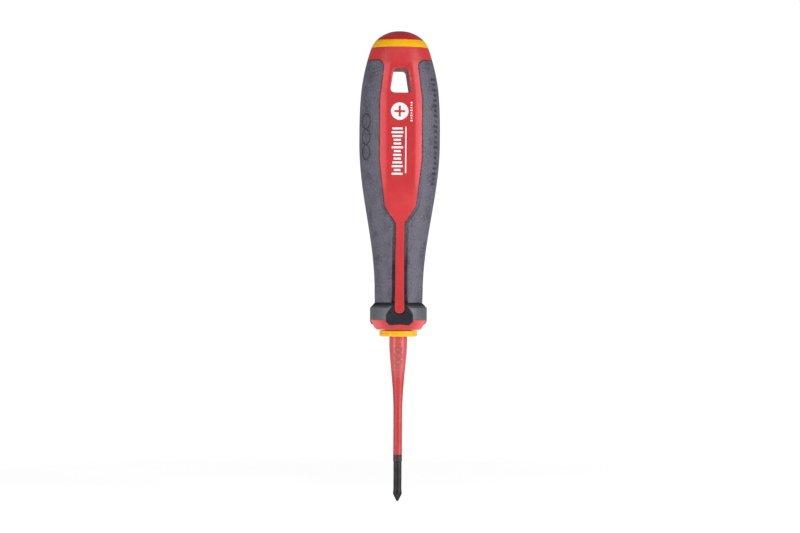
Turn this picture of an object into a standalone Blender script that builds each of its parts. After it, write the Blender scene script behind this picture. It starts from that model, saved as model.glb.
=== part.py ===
"""Insulated Phillips screwdriver: fixed blade, three-component handle.

Metres, +Z up. The blade's axis is the Z axis: the blunt end of the tip is at
z = 0, the butt of the handle is on top, and the labelled panel faces -Y.
A "facing" angle turns a feature about Z: 0 faces -Y, +90 degrees faces +X.
"""

import math

import bmesh
import bpy
from mathutils import Matrix, Vector

# Clearance between pieces that touch.
FIT_GAP = 0.0003

# Overall sizes.
BLADE_REACH = 0.0601        # tip to the underside of the handle
HANDLE_LENGTH = 0.1113      # underside of the handle to the butt

# Blade.
BLADE_DIAMETER = 0.0030
BARE_LENGTH = 0.0166        # metal left uncovered at the tip
BARE_BAND_DIAMETER = 0.0033
BARE_BAND_HEIGHT = 0.0025
TIP_DIAMETER = 0.0033       # across the wings of the cross
TIP_END_DIAMETER = 0.0007
TIP_HALF_ANGLE = math.radians(26.5)
TIP_FLARE_LENGTH = 0.0016
FLUTE_ANGLE = math.radians(92.0)
FLUTE_SLOPE = math.radians(12.0)
FLUTE_ROOT_RADIUS = 0.0003
SLIM_SHANK_DIAMETER = 0.0019
TANG_DEPTH = 0.0580         # how far the blade goes into the handle
WING_WIDTH = 0.0052
WING_THICKNESS = 0.0012
WING_LENGTH = 0.0100
WING_END_DISTANCE = 0.0060  # from the wings to the end of the tang

# Insulating sleeve.
SLEEVE_SLIM_DIAMETER = 0.00325
SLEEVE_ROOT_DIAMETER = 0.0066
SLEEVE_SLIM_LENGTH = 0.0190
SLEEVE_ROOT_LENGTH = 0.0060  # full diameter outside the handle
SLEEVE_PLUG_DEPTH = 0.0120   # hidden in the handle

# Handle core and its front ring.
CORE_RADIUS = 0.0050
CORE_TOP_WEB = 0.0040        # from the hanging hole down to the core
FRONT_RING_RADIUS = 0.0069
FRONT_RING_HEIGHT = 0.0021
SMALL_CHAMFER = 0.0003

# Handle outline, with heights above the underside of the handle.
FLANGE_RADIUS = 0.0082
FLANGE_HEIGHT = 0.0061
FLANGE_EDGE = 0.0006
COLLAR_RADIUS = 0.0104
COLLAR_SHOULDER_HEIGHT = 0.0104
COLLAR_TOP_HEIGHT = 0.0122
COLLAR_SEAT_RADIUS = 0.0070
WAIST_RADIUS = 0.0087
WAIST_HEIGHT = 0.0160
BELLY_RADIUS = 0.0146
BELLY_FROM_BUTT = 0.0404
NECK_RADIUS = 0.0105
NECK_FROM_BUTT = 0.0062
LOBE_DEPTH = 0.055           # swing of the three-lobed section, share of radius
LOBE_FADE_FROM_BUTT = 0.0225

# Anti-roll flats of the collar.
FLAT_DISTANCE = 0.0092       # from the axis
FLAT_PAD_HALF_WIDTH = 0.0049
FLAT_PAD_DROP = 0.0019
FLAT_PAD_CHAMFER = 0.0012
FLAT_PAD_THICKNESS = 0.0012
STRIPE_RISE = 0.00015        # the stripe's end stands proud of the flat

# Red panels between the grips.
STRIPE_HALF_WIDTH = 0.0016
STRIPE_END_HEIGHT = 0.0085
STRIPE_TOP_HEIGHT = 0.0413
PANEL_HIP_HEIGHT = 0.0475
PANEL_HIP_HALF_WIDTH = 0.0057
PANEL_WIDE_HEIGHT = 0.0650
PANEL_HALF_WIDTH = 0.0077
PANEL_WIDE_FROM_BUTT = 0.0254
PANEL_TOP_HALF_WIDTH = 0.0059
PANEL_CORNER_RADIUS = 0.0020
PANEL_SIDE_RADIUS = 0.0400
STRIPE_END_RADIUS = 0.0014

# Soft grips.
GRIP_THICKNESS = 0.0020
GRIP_TOP_FROM_BUTT = 0.0107
GRIP_CORNER_RADIUS = 0.0030
GRIP_CROWN = 0.0006          # rise of the grips' top edge, corner to middle
BACK_GRIP_BELOW_HOLE = 0.0035

# Label recess in the front panel.
LABEL_HALF_WIDTH = 0.0051
LABEL_DEPTH = 0.00035
LABEL_BOTTOM_HEIGHT = 0.0515
LABEL_ABOVE_HOLE = 0.0012

# Hanging hole.
HOLE_BOTTOM_HALF_WIDTH = 0.0038
HOLE_TOP_HALF_WIDTH = 0.0028
HOLE_TOP_FROM_BUTT = 0.0140
HOLE_HEIGHT = 0.0089
HOLE_CORNER_RADIUS = 0.0014

# Rear band and end cap.
BAND_HEIGHT = 0.0030
DOME_FLAT_RADIUS = 0.0018
SPIGOT_RADIUS = 0.0042
SPIGOT_DEPTH = 0.0036        # below the rear band

# Where the three panels and the three grips face.
PANEL_FACINGS = (0.0, math.radians(120.0), math.radians(-120.0))
GRIP_LEFT_FACING = math.radians(-60.0)
GRIP_RIGHT_FACING = math.radians(60.0)
GRIP_BACK_FACING = math.radians(180.0)

# Fineness of the surfaces.
AROUND_HANDLE = 48
AROUND_BLADE = 32
HANDLE_ROW = 0.0040
DOME_STEPS = 18
CORNER_STEPS = 4

# How far a cutter runs past what it cuts.
CUT_MARGIN = 0.0020

# Heights that follow from the sizes above.
HANDLE_BOTTOM = BLADE_REACH
BUTT = HANDLE_BOTTOM + HANDLE_LENGTH
SHELL_BOTTOM = HANDLE_BOTTOM + FRONT_RING_HEIGHT + FIT_GAP
FLANGE_TOP = HANDLE_BOTTOM + FLANGE_HEIGHT
COLLAR_SHOULDER = HANDLE_BOTTOM + COLLAR_SHOULDER_HEIGHT
COLLAR_TOP = HANDLE_BOTTOM + COLLAR_TOP_HEIGHT
WAIST = HANDLE_BOTTOM + WAIST_HEIGHT
BELLY = BUTT - BELLY_FROM_BUTT
NECK = BUTT - NECK_FROM_BUTT
HOLE_TOP = BUTT - HOLE_TOP_FROM_BUTT
HOLE_BOTTOM = HOLE_TOP - HOLE_HEIGHT
GRIP_BOTTOM = COLLAR_TOP + FIT_GAP
GRIP_TOP = BUTT - GRIP_TOP_FROM_BUTT
BACK_GRIP_TOP = HOLE_BOTTOM - BACK_GRIP_BELOW_HOLE
CORE_TOP = HOLE_BOTTOM - CORE_TOP_WEB
BAND_BOTTOM = NECK + FIT_GAP
BAND_TOP = NECK + BAND_HEIGHT - FIT_GAP
CAP_BOTTOM = BAND_TOP + FIT_GAP
SPIGOT_BOTTOM = NECK - SPIGOT_DEPTH
TANG_TOP = HANDLE_BOTTOM + TANG_DEPTH
WING_TOP = TANG_TOP - WING_END_DISTANCE
WING_BOTTOM = WING_TOP - WING_LENGTH
SLEEVE_PLUG_TOP = HANDLE_BOTTOM + SLEEVE_PLUG_DEPTH
PANEL_WIDE_TOP = BUTT - PANEL_WIDE_FROM_BUTT


# --- The outer form of the handle -------------------------------------------

def ease(start, end, share):
    """Go smoothly from start to end as share goes from 0 to 1."""
    return start + (end - start) * (1.0 - math.cos(math.pi * share)) / 2.0


def share_of(value, start, end):
    """Return how far value is between start and end, kept within 0 and 1."""
    return min(1.0, max(0.0, (value - start) / (end - start)))


def handle_radius(height):
    """Return the mean outer radius of the handle below the dome."""
    if height <= FLANGE_TOP:
        return FLANGE_RADIUS + (COLLAR_RADIUS - FLANGE_RADIUS) * share_of(height, SHELL_BOTTOM, FLANGE_TOP)
    if height <= COLLAR_SHOULDER:
        return COLLAR_RADIUS
    if height <= COLLAR_TOP:
        return COLLAR_RADIUS + (WAIST_RADIUS - COLLAR_RADIUS) * share_of(height, COLLAR_SHOULDER, COLLAR_TOP)
    if height <= BELLY:
        return ease(WAIST_RADIUS, BELLY_RADIUS, share_of(height, WAIST, BELLY))
    return BELLY_RADIUS - (BELLY_RADIUS - NECK_RADIUS) * share_of(height, BELLY, NECK) ** 3


def lobe_depth(height):
    """Return the swing of the lobes: none at the collar and at the neck."""
    rising = share_of(height, COLLAR_SHOULDER, WAIST)
    falling = share_of(height, BUTT - LOBE_FADE_FROM_BUTT, NECK)
    return LOBE_DEPTH * rising * (1.0 - ease(0.0, 1.0, falling))


def surface_point(angle, height, offset):
    """Return the point of the handle's outer surface that faces an angle."""
    radius = handle_radius(height) * (1.0 - lobe_depth(height) * math.cos(3.0 * angle)) + offset
    return Vector((radius * math.sin(angle), -radius * math.cos(angle), height))


def rows(bottom, top):
    """Return heights from bottom to top, about one handle row apart."""
    count = max(1, round((top - bottom) / HANDLE_ROW))
    return [bottom + (top - bottom) * i / count for i in range(count + 1)]


def dome_curve():
    """Return (radius, height) points from the neck up to the flat of the butt."""
    slope = 3.0 * (BELLY_RADIUS - NECK_RADIUS) / (NECK - BELLY)
    rise = 0.77 * NECK_FROM_BUTT
    reach = 0.12 * NECK_RADIUS
    start = Vector((NECK_RADIUS, NECK))
    lift = Vector((NECK_RADIUS - slope * rise, NECK + rise))
    pull = Vector((DOME_FLAT_RADIUS + reach, BUTT))
    end = Vector((DOME_FLAT_RADIUS, BUTT))
    points = []
    for i in range(DOME_STEPS + 1):
        t = i / DOME_STEPS
        s = 1.0 - t
        points.append(s ** 3 * start + 3 * s * s * t * lift + 3 * s * t * t * pull + t ** 3 * end)
    return points


def dome_part(bottom, top):
    """Return the dome's points between two heights, with exact ends."""
    curve = dome_curve()

    def at(height):
        for low, high in zip(curve, curve[1:]):
            if low.y <= height <= high.y:
                return low.lerp(high, (height - low.y) / max(high.y - low.y, 1e-9))
        return curve[-1]

    inner = [point for point in curve if bottom + 1e-5 < point.y < top - 1e-5]
    return [at(bottom)] + inner + [at(top)]


# --- Modelling helpers -------------------------------------------------------

def clear_scene():
    """Remove every object that is already in the scene."""
    for thing in list(bpy.data.objects):
        bpy.data.objects.remove(thing, do_unlink=True)


def material(name, colour, roughness, metallic=0.0):
    """Return a plain Principled material."""
    made = bpy.data.materials.new(name)
    made.use_nodes = True
    shader = made.node_tree.nodes["Principled BSDF"]
    shader.inputs["Base Color"].default_value = (*colour, 1.0)
    shader.inputs["Roughness"].default_value = roughness
    shader.inputs["Metallic"].default_value = metallic
    made.diffuse_color = (*colour, 1.0)
    return made


def is_twisted(face):
    """Tell whether a four-sided face is not flat."""
    if len(face.verts) != 4:
        return False
    a, b, c, d = (vertex.co for vertex in face.verts)
    normal = (b - a).cross(c - a).normalized()
    return abs(normal.dot(d - a)) > 1e-7


def solid(name, rings, loop=False):
    """Make a closed solid from rings of points; a ring of one point is a pole.

    With loop set, the last ring joins the first, which makes a hollow part.
    """
    bm = bmesh.new()
    made = [[bm.verts.new(point) for point in ring] for ring in rings]
    pairs = list(zip(made, made[1:]))
    if loop:
        pairs.append((made[-1], made[0]))
    for lower, upper in pairs:
        count = max(len(lower), len(upper))
        if count == 1:
            continue  # the axis between two poles bounds nothing
        for i in range(count):
            j = (i + 1) % count
            corners = [lower[i % len(lower)], lower[j % len(lower)], upper[j % len(upper)], upper[i % len(upper)]]
            bm.faces.new(list(dict.fromkeys(corners)))
    if not loop:
        for ring in (made[0], made[-1]):
            if len(ring) > 2:
                bm.faces.new(ring)
    twisted = [face for face in bm.faces if is_twisted(face)]
    bmesh.ops.triangulate(bm, faces=twisted)
    bmesh.ops.recalc_face_normals(bm, faces=bm.faces)
    mesh = bpy.data.meshes.new(name)
    bm.to_mesh(mesh)
    bm.free()
    made_object = bpy.data.objects.new(name, mesh)
    bpy.context.collection.objects.link(made_object)
    return made_object


def facet_angles(count, first=0, last=None):
    """Return the facings of a ring's corners, which straddle facing 0 evenly."""
    last = count if last is None else last
    return [2.0 * math.pi * (i + 0.5) / count for i in range(first, last)]


def circle(radius, height, count):
    """Return a ring of points about the Z axis, or a pole for no radius."""
    if radius <= 0.0:
        return [Vector((0.0, 0.0, height))]
    return [Vector((radius * math.sin(a), -radius * math.cos(a), height)) for a in facet_angles(count)]


def turned(name, profile, count, loop=False):
    """Make a turned solid from (radius, height) points."""
    return solid(name, [circle(radius, height, count) for radius, height in profile], loop)


def prism(name, outline, near, far, facing):
    """Extrude an (across, height) outline outwards, from near to far of the axis."""
    turn = Matrix.Rotation(facing, 3, "Z")
    rings = []
    for distance in (near, far):
        rings.append([turn @ Vector((across, -distance, height)) for across, height in outline])
    return solid(name, rings)


def rounded(corners, steps=CORNER_STEPS):
    """Return an outline with each (across, height, radius) corner rounded."""
    outline = []
    for i, (across, height, radius) in enumerate(corners):
        corner = Vector((across, height))
        if radius <= 0.0:
            outline.append(corner)
            continue
        before = Vector(corners[i - 1][:2]) - corner
        after = Vector(corners[(i + 1) % len(corners)][:2]) - corner
        half = before.angle(after) / 2.0
        reach = min(radius / math.tan(half), before.length * 0.49, after.length * 0.49)
        bow = reach * math.tan(half)
        middle = corner + (before.normalized() + after.normalized()).normalized() * (bow / math.sin(half))
        start = (corner + before.normalized() * reach - middle).normalized()
        end = (corner + after.normalized() * reach - middle).normalized()
        for k in range(steps + 1):
            outline.append(middle + bow * start.slerp(end, k / steps))
    return outline


def cutter(thing):
    """Mark a solid as a tool that only shapes its neighbours."""
    thing.hide_render = True
    thing.display_type = "WIRE"
    return thing


def combine(target, tool, operation="DIFFERENCE"):
    """Cut, join or intersect a solid with a tool, exactly."""
    step = target.modifiers.new(tool.name, "BOOLEAN")
    step.operation = operation
    step.solver = "EXACT"
    step.object = cutter(tool)


def finish(thing, look, angle=35.0):
    """Give a piece its material and shade its round faces smooth."""
    thing.data.materials.clear()
    thing.data.materials.append(look)
    for polygon in thing.data.polygons:
        polygon.use_smooth = True
    thing.data.set_sharp_from_angle(angle=math.radians(angle))
    return thing


# --- Panels, pockets and grips ----------------------------------------------

def panel_side(side, widen, top, foot):
    """Return the corners of one side of a panel, from its foot up.

    Beside the back grip, which ends below the hanging hole, the panel opens
    out before it would narrow.
    """
    stripe = STRIPE_HALF_WIDTH + widen
    wide = PANEL_HALF_WIDTH + widen
    corners = [
        (stripe, foot, STRIPE_END_RADIUS),
        (stripe, HANDLE_BOTTOM + STRIPE_TOP_HEIGHT, PANEL_CORNER_RADIUS),
        (PANEL_HIP_HALF_WIDTH + widen, HANDLE_BOTTOM + PANEL_HIP_HEIGHT, PANEL_CORNER_RADIUS),
        (wide, HANDLE_BOTTOM + PANEL_WIDE_HEIGHT, PANEL_SIDE_RADIUS),
    ]
    if top < GRIP_TOP:
        corners.append((wide, top - widen, GRIP_CORNER_RADIUS))
    else:
        corners.append((wide, PANEL_WIDE_TOP, PANEL_SIDE_RADIUS))
        corners.append((PANEL_TOP_HALF_WIDTH + widen, top - widen, GRIP_CORNER_RADIUS))
    beyond = BELLY_RADIUS + 3.0 * CUT_MARGIN
    corners += [(beyond, top - widen + GRIP_CROWN, 0.0), (beyond, NECK + CUT_MARGIN, 0.0)]
    return [(side * across, height, radius) for across, height, radius in corners]


def panel_outline(widen, left_top, right_top, foot):
    """Return a panel's outline, its stripe and the neck above the grips."""
    right = panel_side(1.0, widen, right_top, foot)
    left = panel_side(-1.0, widen, left_top, foot)
    return rounded(right + left[::-1])


def panel_prisms(name, widen):
    """Return the three panels as prisms, each wider by widen on every side."""
    tops = {
        PANEL_FACINGS[0]: (GRIP_TOP, GRIP_TOP),
        PANEL_FACINGS[1]: (GRIP_TOP, BACK_GRIP_TOP),
        PANEL_FACINGS[2]: (BACK_GRIP_TOP, GRIP_TOP),
    }
    foot = HANDLE_BOTTOM + STRIPE_END_HEIGHT - widen
    prisms = []
    for number, facing in enumerate(PANEL_FACINGS):
        left_top, right_top = tops[facing]
        outline = panel_outline(widen, left_top, right_top, foot)
        far = BELLY_RADIUS + 4.0 * CUT_MARGIN
        prisms.append(cutter(prism(f"{name}_{number}", outline, 0.0, far, facing)))
    return prisms


def shell_band(name, facing, half_turn, bottom, top, outer, inner):
    """Make a curved slab that follows the handle's surface.

    The slab spans a little over half_turn of the handle's facets to each side
    of facing, from the surface moved by inner to the surface moved by outer.
    """
    angles = [facing + angle for angle in facet_angles(AROUND_HANDLE, -half_turn - 1, half_turn + 1)]
    rings = []
    for height in rows(bottom, top):
        front = [surface_point(angle, height, outer) for angle in angles]
        back = [surface_point(angle, height, inner) for angle in reversed(angles)]
        rings.append(front + back)
    return solid(name, rings)


def make_grip(name, facing, look, prisms):
    """Make one soft grip lobe between two panels."""
    sixth = AROUND_HANDLE // 6
    grip = shell_band(name, facing, sixth, GRIP_BOTTOM, NECK, 0.0, -GRIP_THICKNESS)
    for tool in prisms:
        combine(grip, tool)
    return finish(grip, look)


def soft_space():
    """Return the space that the grips and the collar fill, as one cutter.

    It is a ring around the handle, open to the outside, from which the three
    panels and their stripes stand up.
    """
    floor = -GRIP_THICKNESS - FIT_GAP
    seat = COLLAR_SEAT_RADIUS - FIT_GAP
    bottom = FLANGE_TOP - FIT_GAP
    angles = facet_angles(AROUND_HANDLE)
    grip_heights = rows(COLLAR_TOP, NECK)
    rings = [circle(seat, bottom, AROUND_HANDLE), circle(COLLAR_RADIUS + CUT_MARGIN, bottom, AROUND_HANDLE)]
    for height in [COLLAR_SHOULDER] + grip_heights:
        rings.append([surface_point(angle, height, CUT_MARGIN) for angle in angles])
    for height in reversed(grip_heights):
        rings.append([surface_point(angle, height, floor) for angle in angles])
    rings.append(circle(seat, COLLAR_TOP - FIT_GAP, AROUND_HANDLE))
    space = solid("soft_space", rings, loop=True)
    for tool in panel_prisms("space_limit", 0.0):
        combine(space, tool)
    return space


# --- The pieces ----------------------------------------------------------------

def make_blade(look):
    """Make the steel blade: cross tip, bare shank, slim shank and winged tang."""
    cone = (TIP_DIAMETER - TIP_END_DIAMETER) / 2.0 / math.tan(TIP_HALF_ANGLE)
    radius = BLADE_DIAMETER / 2.0
    band = BARE_BAND_DIAMETER / 2.0
    slim = SLIM_SHANK_DIAMETER / 2.0
    step = band - radius
    slim_top = BARE_LENGTH + SLEEVE_SLIM_LENGTH
    taper_top = HANDLE_BOTTOM - SLEEVE_ROOT_LENGTH
    profile = [
        (0.0, 0.0),
        (TIP_END_DIAMETER / 2.0, 0.0),
        (TIP_DIAMETER / 2.0, cone),
        (radius, cone + TIP_FLARE_LENGTH),
        (radius, BARE_LENGTH - BARE_BAND_HEIGHT),
        (band, BARE_LENGTH - BARE_BAND_HEIGHT + step),
        (band, BARE_LENGTH),
        (slim, BARE_LENGTH),
        (slim, slim_top),
        (radius, taper_top),
        (radius, TANG_TOP - step),
        (radius - step, TANG_TOP),
        (0.0, TANG_TOP),
    ]
    blade = turned("blade", profile, AROUND_BLADE)
    for number in range(4):
        combine(blade, flute_cutter(f"flute_{number}", math.radians(45.0 + 90.0 * number)))
    combine(blade, wing_block("blade_wings", 0.0), "UNION")
    return finish(blade, look)


def flute_cutter(name, facing):
    """Return the V-shaped tool of one flute of the cross tip."""
    turn = Matrix.Rotation(facing, 3, "Z")
    far = TIP_DIAMETER
    bottom = -CUT_MARGIN / 2.0
    top = TIP_DIAMETER / math.tan(FLUTE_SLOPE)
    rings = []
    for height in (bottom, top):
        apex = FLUTE_ROOT_RADIUS + height * math.tan(FLUTE_SLOPE)
        reach = far + top * math.tan(FLUTE_SLOPE) - apex
        side = reach * math.tan(FLUTE_ANGLE / 2.0)
        corners = [(0.0, apex), (side, apex + reach), (-side, apex + reach)]
        rings.append([turn @ Vector((across, -away, height)) for across, away in corners])
    return cutter(solid(name, rings))


def wing_block(name, gap):
    """Return the pressed wings that stop the tang turning, wider by gap."""
    width = WING_WIDTH / 2.0 + gap
    low = WING_BOTTOM - gap
    high = WING_TOP + gap
    bevel = WING_WIDTH / 4.0
    outline = [
        (-width, low + bevel), (-width + bevel, low), (width - bevel, low), (width, low + bevel),
        (width, high - bevel), (width - bevel, high), (-width + bevel, high), (-width, high - bevel),
    ]
    depth = WING_THICKNESS / 2.0 + gap
    return cutter(prism(name, outline, -depth, depth, 0.0))


def make_sleeve(look):
    """Make the tapered insulating sleeve, from the bare tip into the handle."""
    bottom = BARE_LENGTH + FIT_GAP
    slim_top = BARE_LENGTH + SLEEVE_SLIM_LENGTH
    root_bottom = HANDLE_BOTTOM - SLEEVE_ROOT_LENGTH
    slim = SLEEVE_SLIM_DIAMETER / 2.0
    root = SLEEVE_ROOT_DIAMETER / 2.0
    slim_bore = SLIM_SHANK_DIAMETER / 2.0 + FIT_GAP
    root_bore = BLADE_DIAMETER / 2.0 + FIT_GAP
    taper_rows = 6
    outside = [(slim, bottom), (slim, slim_top)]
    for i in range(1, taper_rows):
        share = i / taper_rows
        height = slim_top + (root_bottom - slim_top) * share
        outside.append((slim + (root - slim) * share ** 1.1, height))
    outside += [(root, root_bottom), (root, SLEEVE_PLUG_TOP)]
    inside = [(root_bore, SLEEVE_PLUG_TOP), (root_bore, root_bottom), (slim_bore, slim_top), (slim_bore, bottom)]
    return finish(turned("blade_sleeve", outside + inside, AROUND_BLADE, loop=True), look)


def make_core(look):
    """Make the yellow core that holds the tang, with the ring at the front."""
    edge = SMALL_CHAMFER
    bore = BLADE_DIAMETER / 2.0 + FIT_GAP
    mouth = SLEEVE_ROOT_DIAMETER / 2.0 + FIT_GAP
    ring_top = HANDLE_BOTTOM + FRONT_RING_HEIGHT
    profile = [
        (mouth, HANDLE_BOTTOM),
        (FRONT_RING_RADIUS - edge, HANDLE_BOTTOM),
        (FRONT_RING_RADIUS, HANDLE_BOTTOM + edge),
        (FRONT_RING_RADIUS, ring_top),
        (CORE_RADIUS, ring_top),
        (CORE_RADIUS, CORE_TOP - edge),
        (CORE_RADIUS - edge, CORE_TOP),
        (0.0, CORE_TOP),
        (0.0, TANG_TOP + FIT_GAP),
        (bore, TANG_TOP + FIT_GAP),
        (bore, SLEEVE_PLUG_TOP + FIT_GAP),
        (mouth, SLEEVE_PLUG_TOP + FIT_GAP),
    ]
    core = turned("handle_core", profile, AROUND_BLADE, loop=True)
    combine(core, wing_block("wing_slot", FIT_GAP))
    return finish(core, look)


def shell_body(name):
    """Return the handle's outer form from the flange up to the rear band."""
    edge = FLANGE_EDGE
    breaks = [SHELL_BOTTOM + edge, FLANGE_TOP, COLLAR_SHOULDER, COLLAR_TOP]
    heights = breaks + rows(COLLAR_TOP, NECK)[1:]
    angles = facet_angles(AROUND_HANDLE)
    rings = [circle(FLANGE_RADIUS - edge, SHELL_BOTTOM, AROUND_HANDLE)]
    for height in heights:
        rings.append([surface_point(angle, height, 0.0) for angle in angles])
    return solid(name, rings)


def make_shell(look):
    """Make the red handle body, with its pockets, seats, bore and hanging hole."""
    shell = shell_body("handle_shell")
    combine(shell, soft_space())
    for number, facing in enumerate(PANEL_FACINGS):
        distance = FLAT_DISTANCE + STRIPE_RISE
        combine(shell, flat_block(f"stripe_flat_{number}", facing, distance, STRIPE_HALF_WIDTH + FIT_GAP))
    for number, facing in enumerate(PANEL_FACINGS):
        combine(shell, pad_block(f"pad_seat_{number}", facing, FIT_GAP))
    combine(shell, label_recess())
    bore = CORE_RADIUS + FIT_GAP
    core_space = [(bore, SHELL_BOTTOM - CUT_MARGIN), (bore, CORE_TOP + FIT_GAP)]
    combine(shell, turned("core_bore", core_space, AROUND_BLADE))
    socket = SPIGOT_RADIUS + FIT_GAP
    cap_space = [(socket, SPIGOT_BOTTOM - FIT_GAP), (socket, NECK + CUT_MARGIN)]
    combine(shell, turned("cap_socket", cap_space, AROUND_BLADE))
    combine(shell, hanging_hole())
    return finish(shell, look)


def label_recess():
    """Return the shallow recess for the label on the front panel, as a cutter."""
    low = HANDLE_BOTTOM + LABEL_BOTTOM_HEIGHT
    high = HOLE_BOTTOM + LABEL_ABOVE_HOLE
    turns = 1 + math.ceil(math.asin(LABEL_HALF_WIDTH / BELLY_RADIUS) / (2.0 * math.pi / AROUND_HANDLE))
    slab = shell_band("label_recess", 0.0, turns, low - HANDLE_ROW, high + HANDLE_ROW, CUT_MARGIN, -LABEL_DEPTH)
    corner = PANEL_CORNER_RADIUS
    outline = rounded([
        (-LABEL_HALF_WIDTH, low, corner), (LABEL_HALF_WIDTH, low, corner),
        (LABEL_HALF_WIDTH, high, corner), (-LABEL_HALF_WIDTH, high, corner),
    ])
    far = BELLY_RADIUS + 2.0 * CUT_MARGIN
    combine(slab, prism("label_limit", outline, 0.0, far, 0.0), "INTERSECT")
    return slab


def hanging_hole():
    """Return the tapered hole through the butt end, as a cutter."""
    corner = HOLE_CORNER_RADIUS
    outline = rounded([
        (-HOLE_BOTTOM_HALF_WIDTH, HOLE_BOTTOM, corner), (HOLE_BOTTOM_HALF_WIDTH, HOLE_BOTTOM, corner),
        (HOLE_TOP_HALF_WIDTH, HOLE_TOP, corner), (-HOLE_TOP_HALF_WIDTH, HOLE_TOP, corner),
    ])
    reach = BELLY_RADIUS + 2.0 * CUT_MARGIN
    return prism("hanging_hole", outline, -reach, reach, 0.0)


def flat_block(name, facing, distance, half_width):
    """Return the tool that cuts one anti-roll flat at a distance from the axis."""
    low = FLANGE_TOP - FLAT_PAD_DROP - CUT_MARGIN / 4.0
    high = COLLAR_TOP + CUT_MARGIN
    outline = [(-half_width, low), (half_width, low), (half_width, high), (-half_width, high)]
    return prism(name, outline, distance, COLLAR_RADIUS + 2.0 * CUT_MARGIN, facing)


def pad_block(name, facing, gap):
    """Return the foot of one flat, which reaches down over the flange."""
    half = FLAT_PAD_HALF_WIDTH + gap
    low = FLANGE_TOP - FLAT_PAD_DROP - gap
    chamfer = FLAT_PAD_CHAMFER
    high = FLANGE_TOP + CUT_MARGIN / 2.0
    outline = [(-half + chamfer, low), (half - chamfer, low), (half, low + chamfer), (half, high),
               (-half, high), (-half, low + chamfer)]
    near = FLAT_DISTANCE - FLAT_PAD_THICKNESS - gap
    far = COLLAR_RADIUS + CUT_MARGIN + gap
    return prism(name, outline, near, far, facing)


def make_collar(look):
    """Make the anti-roll collar: a flared ring with three flats."""
    profile = [
        (COLLAR_SEAT_RADIUS, FLANGE_TOP),
        (COLLAR_RADIUS, FLANGE_TOP),
        (COLLAR_RADIUS, COLLAR_SHOULDER),
        (WAIST_RADIUS, COLLAR_TOP),
        (COLLAR_SEAT_RADIUS, COLLAR_TOP),
    ]
    collar = turned("anti_roll_collar", profile, AROUND_HANDLE, loop=True)
    for number, facing in enumerate(PANEL_FACINGS):
        combine(collar, pad_block(f"collar_pad_{number}", facing, 0.0), "UNION")
    for number, facing in enumerate(PANEL_FACINGS):
        combine(collar, flat_block(f"collar_flat_{number}", facing, FLAT_DISTANCE, COLLAR_RADIUS))
    for tool in panel_prisms("collar_limit", FIT_GAP):
        combine(collar, tool)
    return finish(collar, look)


def make_rear_band(look):
    """Make the yellow band between the handle body and the end cap."""
    inner = SPIGOT_RADIUS + FIT_GAP
    outside = [(point.x, point.y) for point in dome_part(BAND_BOTTOM, BAND_TOP)]
    profile = outside + [(inner, BAND_TOP), (inner, BAND_BOTTOM)]
    return finish(turned("rear_band", profile, AROUND_HANDLE, loop=True), look)


def make_end_cap(look):
    """Make the domed end cap with the spigot that holds it in the handle."""
    edge = SMALL_CHAMFER
    dome = [(point.x, point.y) for point in dome_part(CAP_BOTTOM, BUTT)]
    spigot = [
        (0.0, SPIGOT_BOTTOM),
        (SPIGOT_RADIUS - edge, SPIGOT_BOTTOM),
        (SPIGOT_RADIUS, SPIGOT_BOTTOM + edge),
        (SPIGOT_RADIUS, CAP_BOTTOM),
    ]
    return finish(turned("end_cap", spigot + dome, AROUND_HANDLE), look)


def main():
    """Build every piece of the screwdriver."""
    clear_scene()
    make_blade(material("burnished_steel", (0.054, 0.051, 0.058), 0.42, 0.85))
    make_sleeve(material("sleeve_red", (0.64, 0.045, 0.055), 0.42))
    make_core(material("core_yellow", (0.93, 0.55, 0.02), 0.40))
    make_shell(material("shell_red", (0.66, 0.045, 0.050), 0.38))
    grip_grey = material("grip_grey", (0.125, 0.120, 0.150), 0.75)
    prisms = panel_prisms("grip_limit", FIT_GAP)
    make_grip("grip_left", GRIP_LEFT_FACING, grip_grey, prisms)
    make_grip("grip_right", GRIP_RIGHT_FACING, grip_grey, prisms)
    make_grip("grip_back", GRIP_BACK_FACING, grip_grey, prisms)
    make_collar(material("collar_grey", (0.060, 0.062, 0.075), 0.50))
    make_rear_band(material("band_yellow", (0.95, 0.54, 0.01), 0.35))
    make_end_cap(material("cap_crimson", (0.36, 0.020, 0.035), 0.25))


main()
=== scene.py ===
"""Looks of the insulated screwdriver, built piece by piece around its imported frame.

Metres, +Z up. The tip points down and stands at z = 0, and the labelled panel faces -Y.
A "facing" is an angle about Z: 0 faces -Y and a quarter turn faces +X.
"""

from __future__ import annotations

import logging
import math
from dataclasses import dataclass, field, replace
from enum import Enum
from typing import Callable, Optional, Sequence

import bmesh
import bpy
import numpy as np
from mathutils import Matrix, Vector

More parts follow.
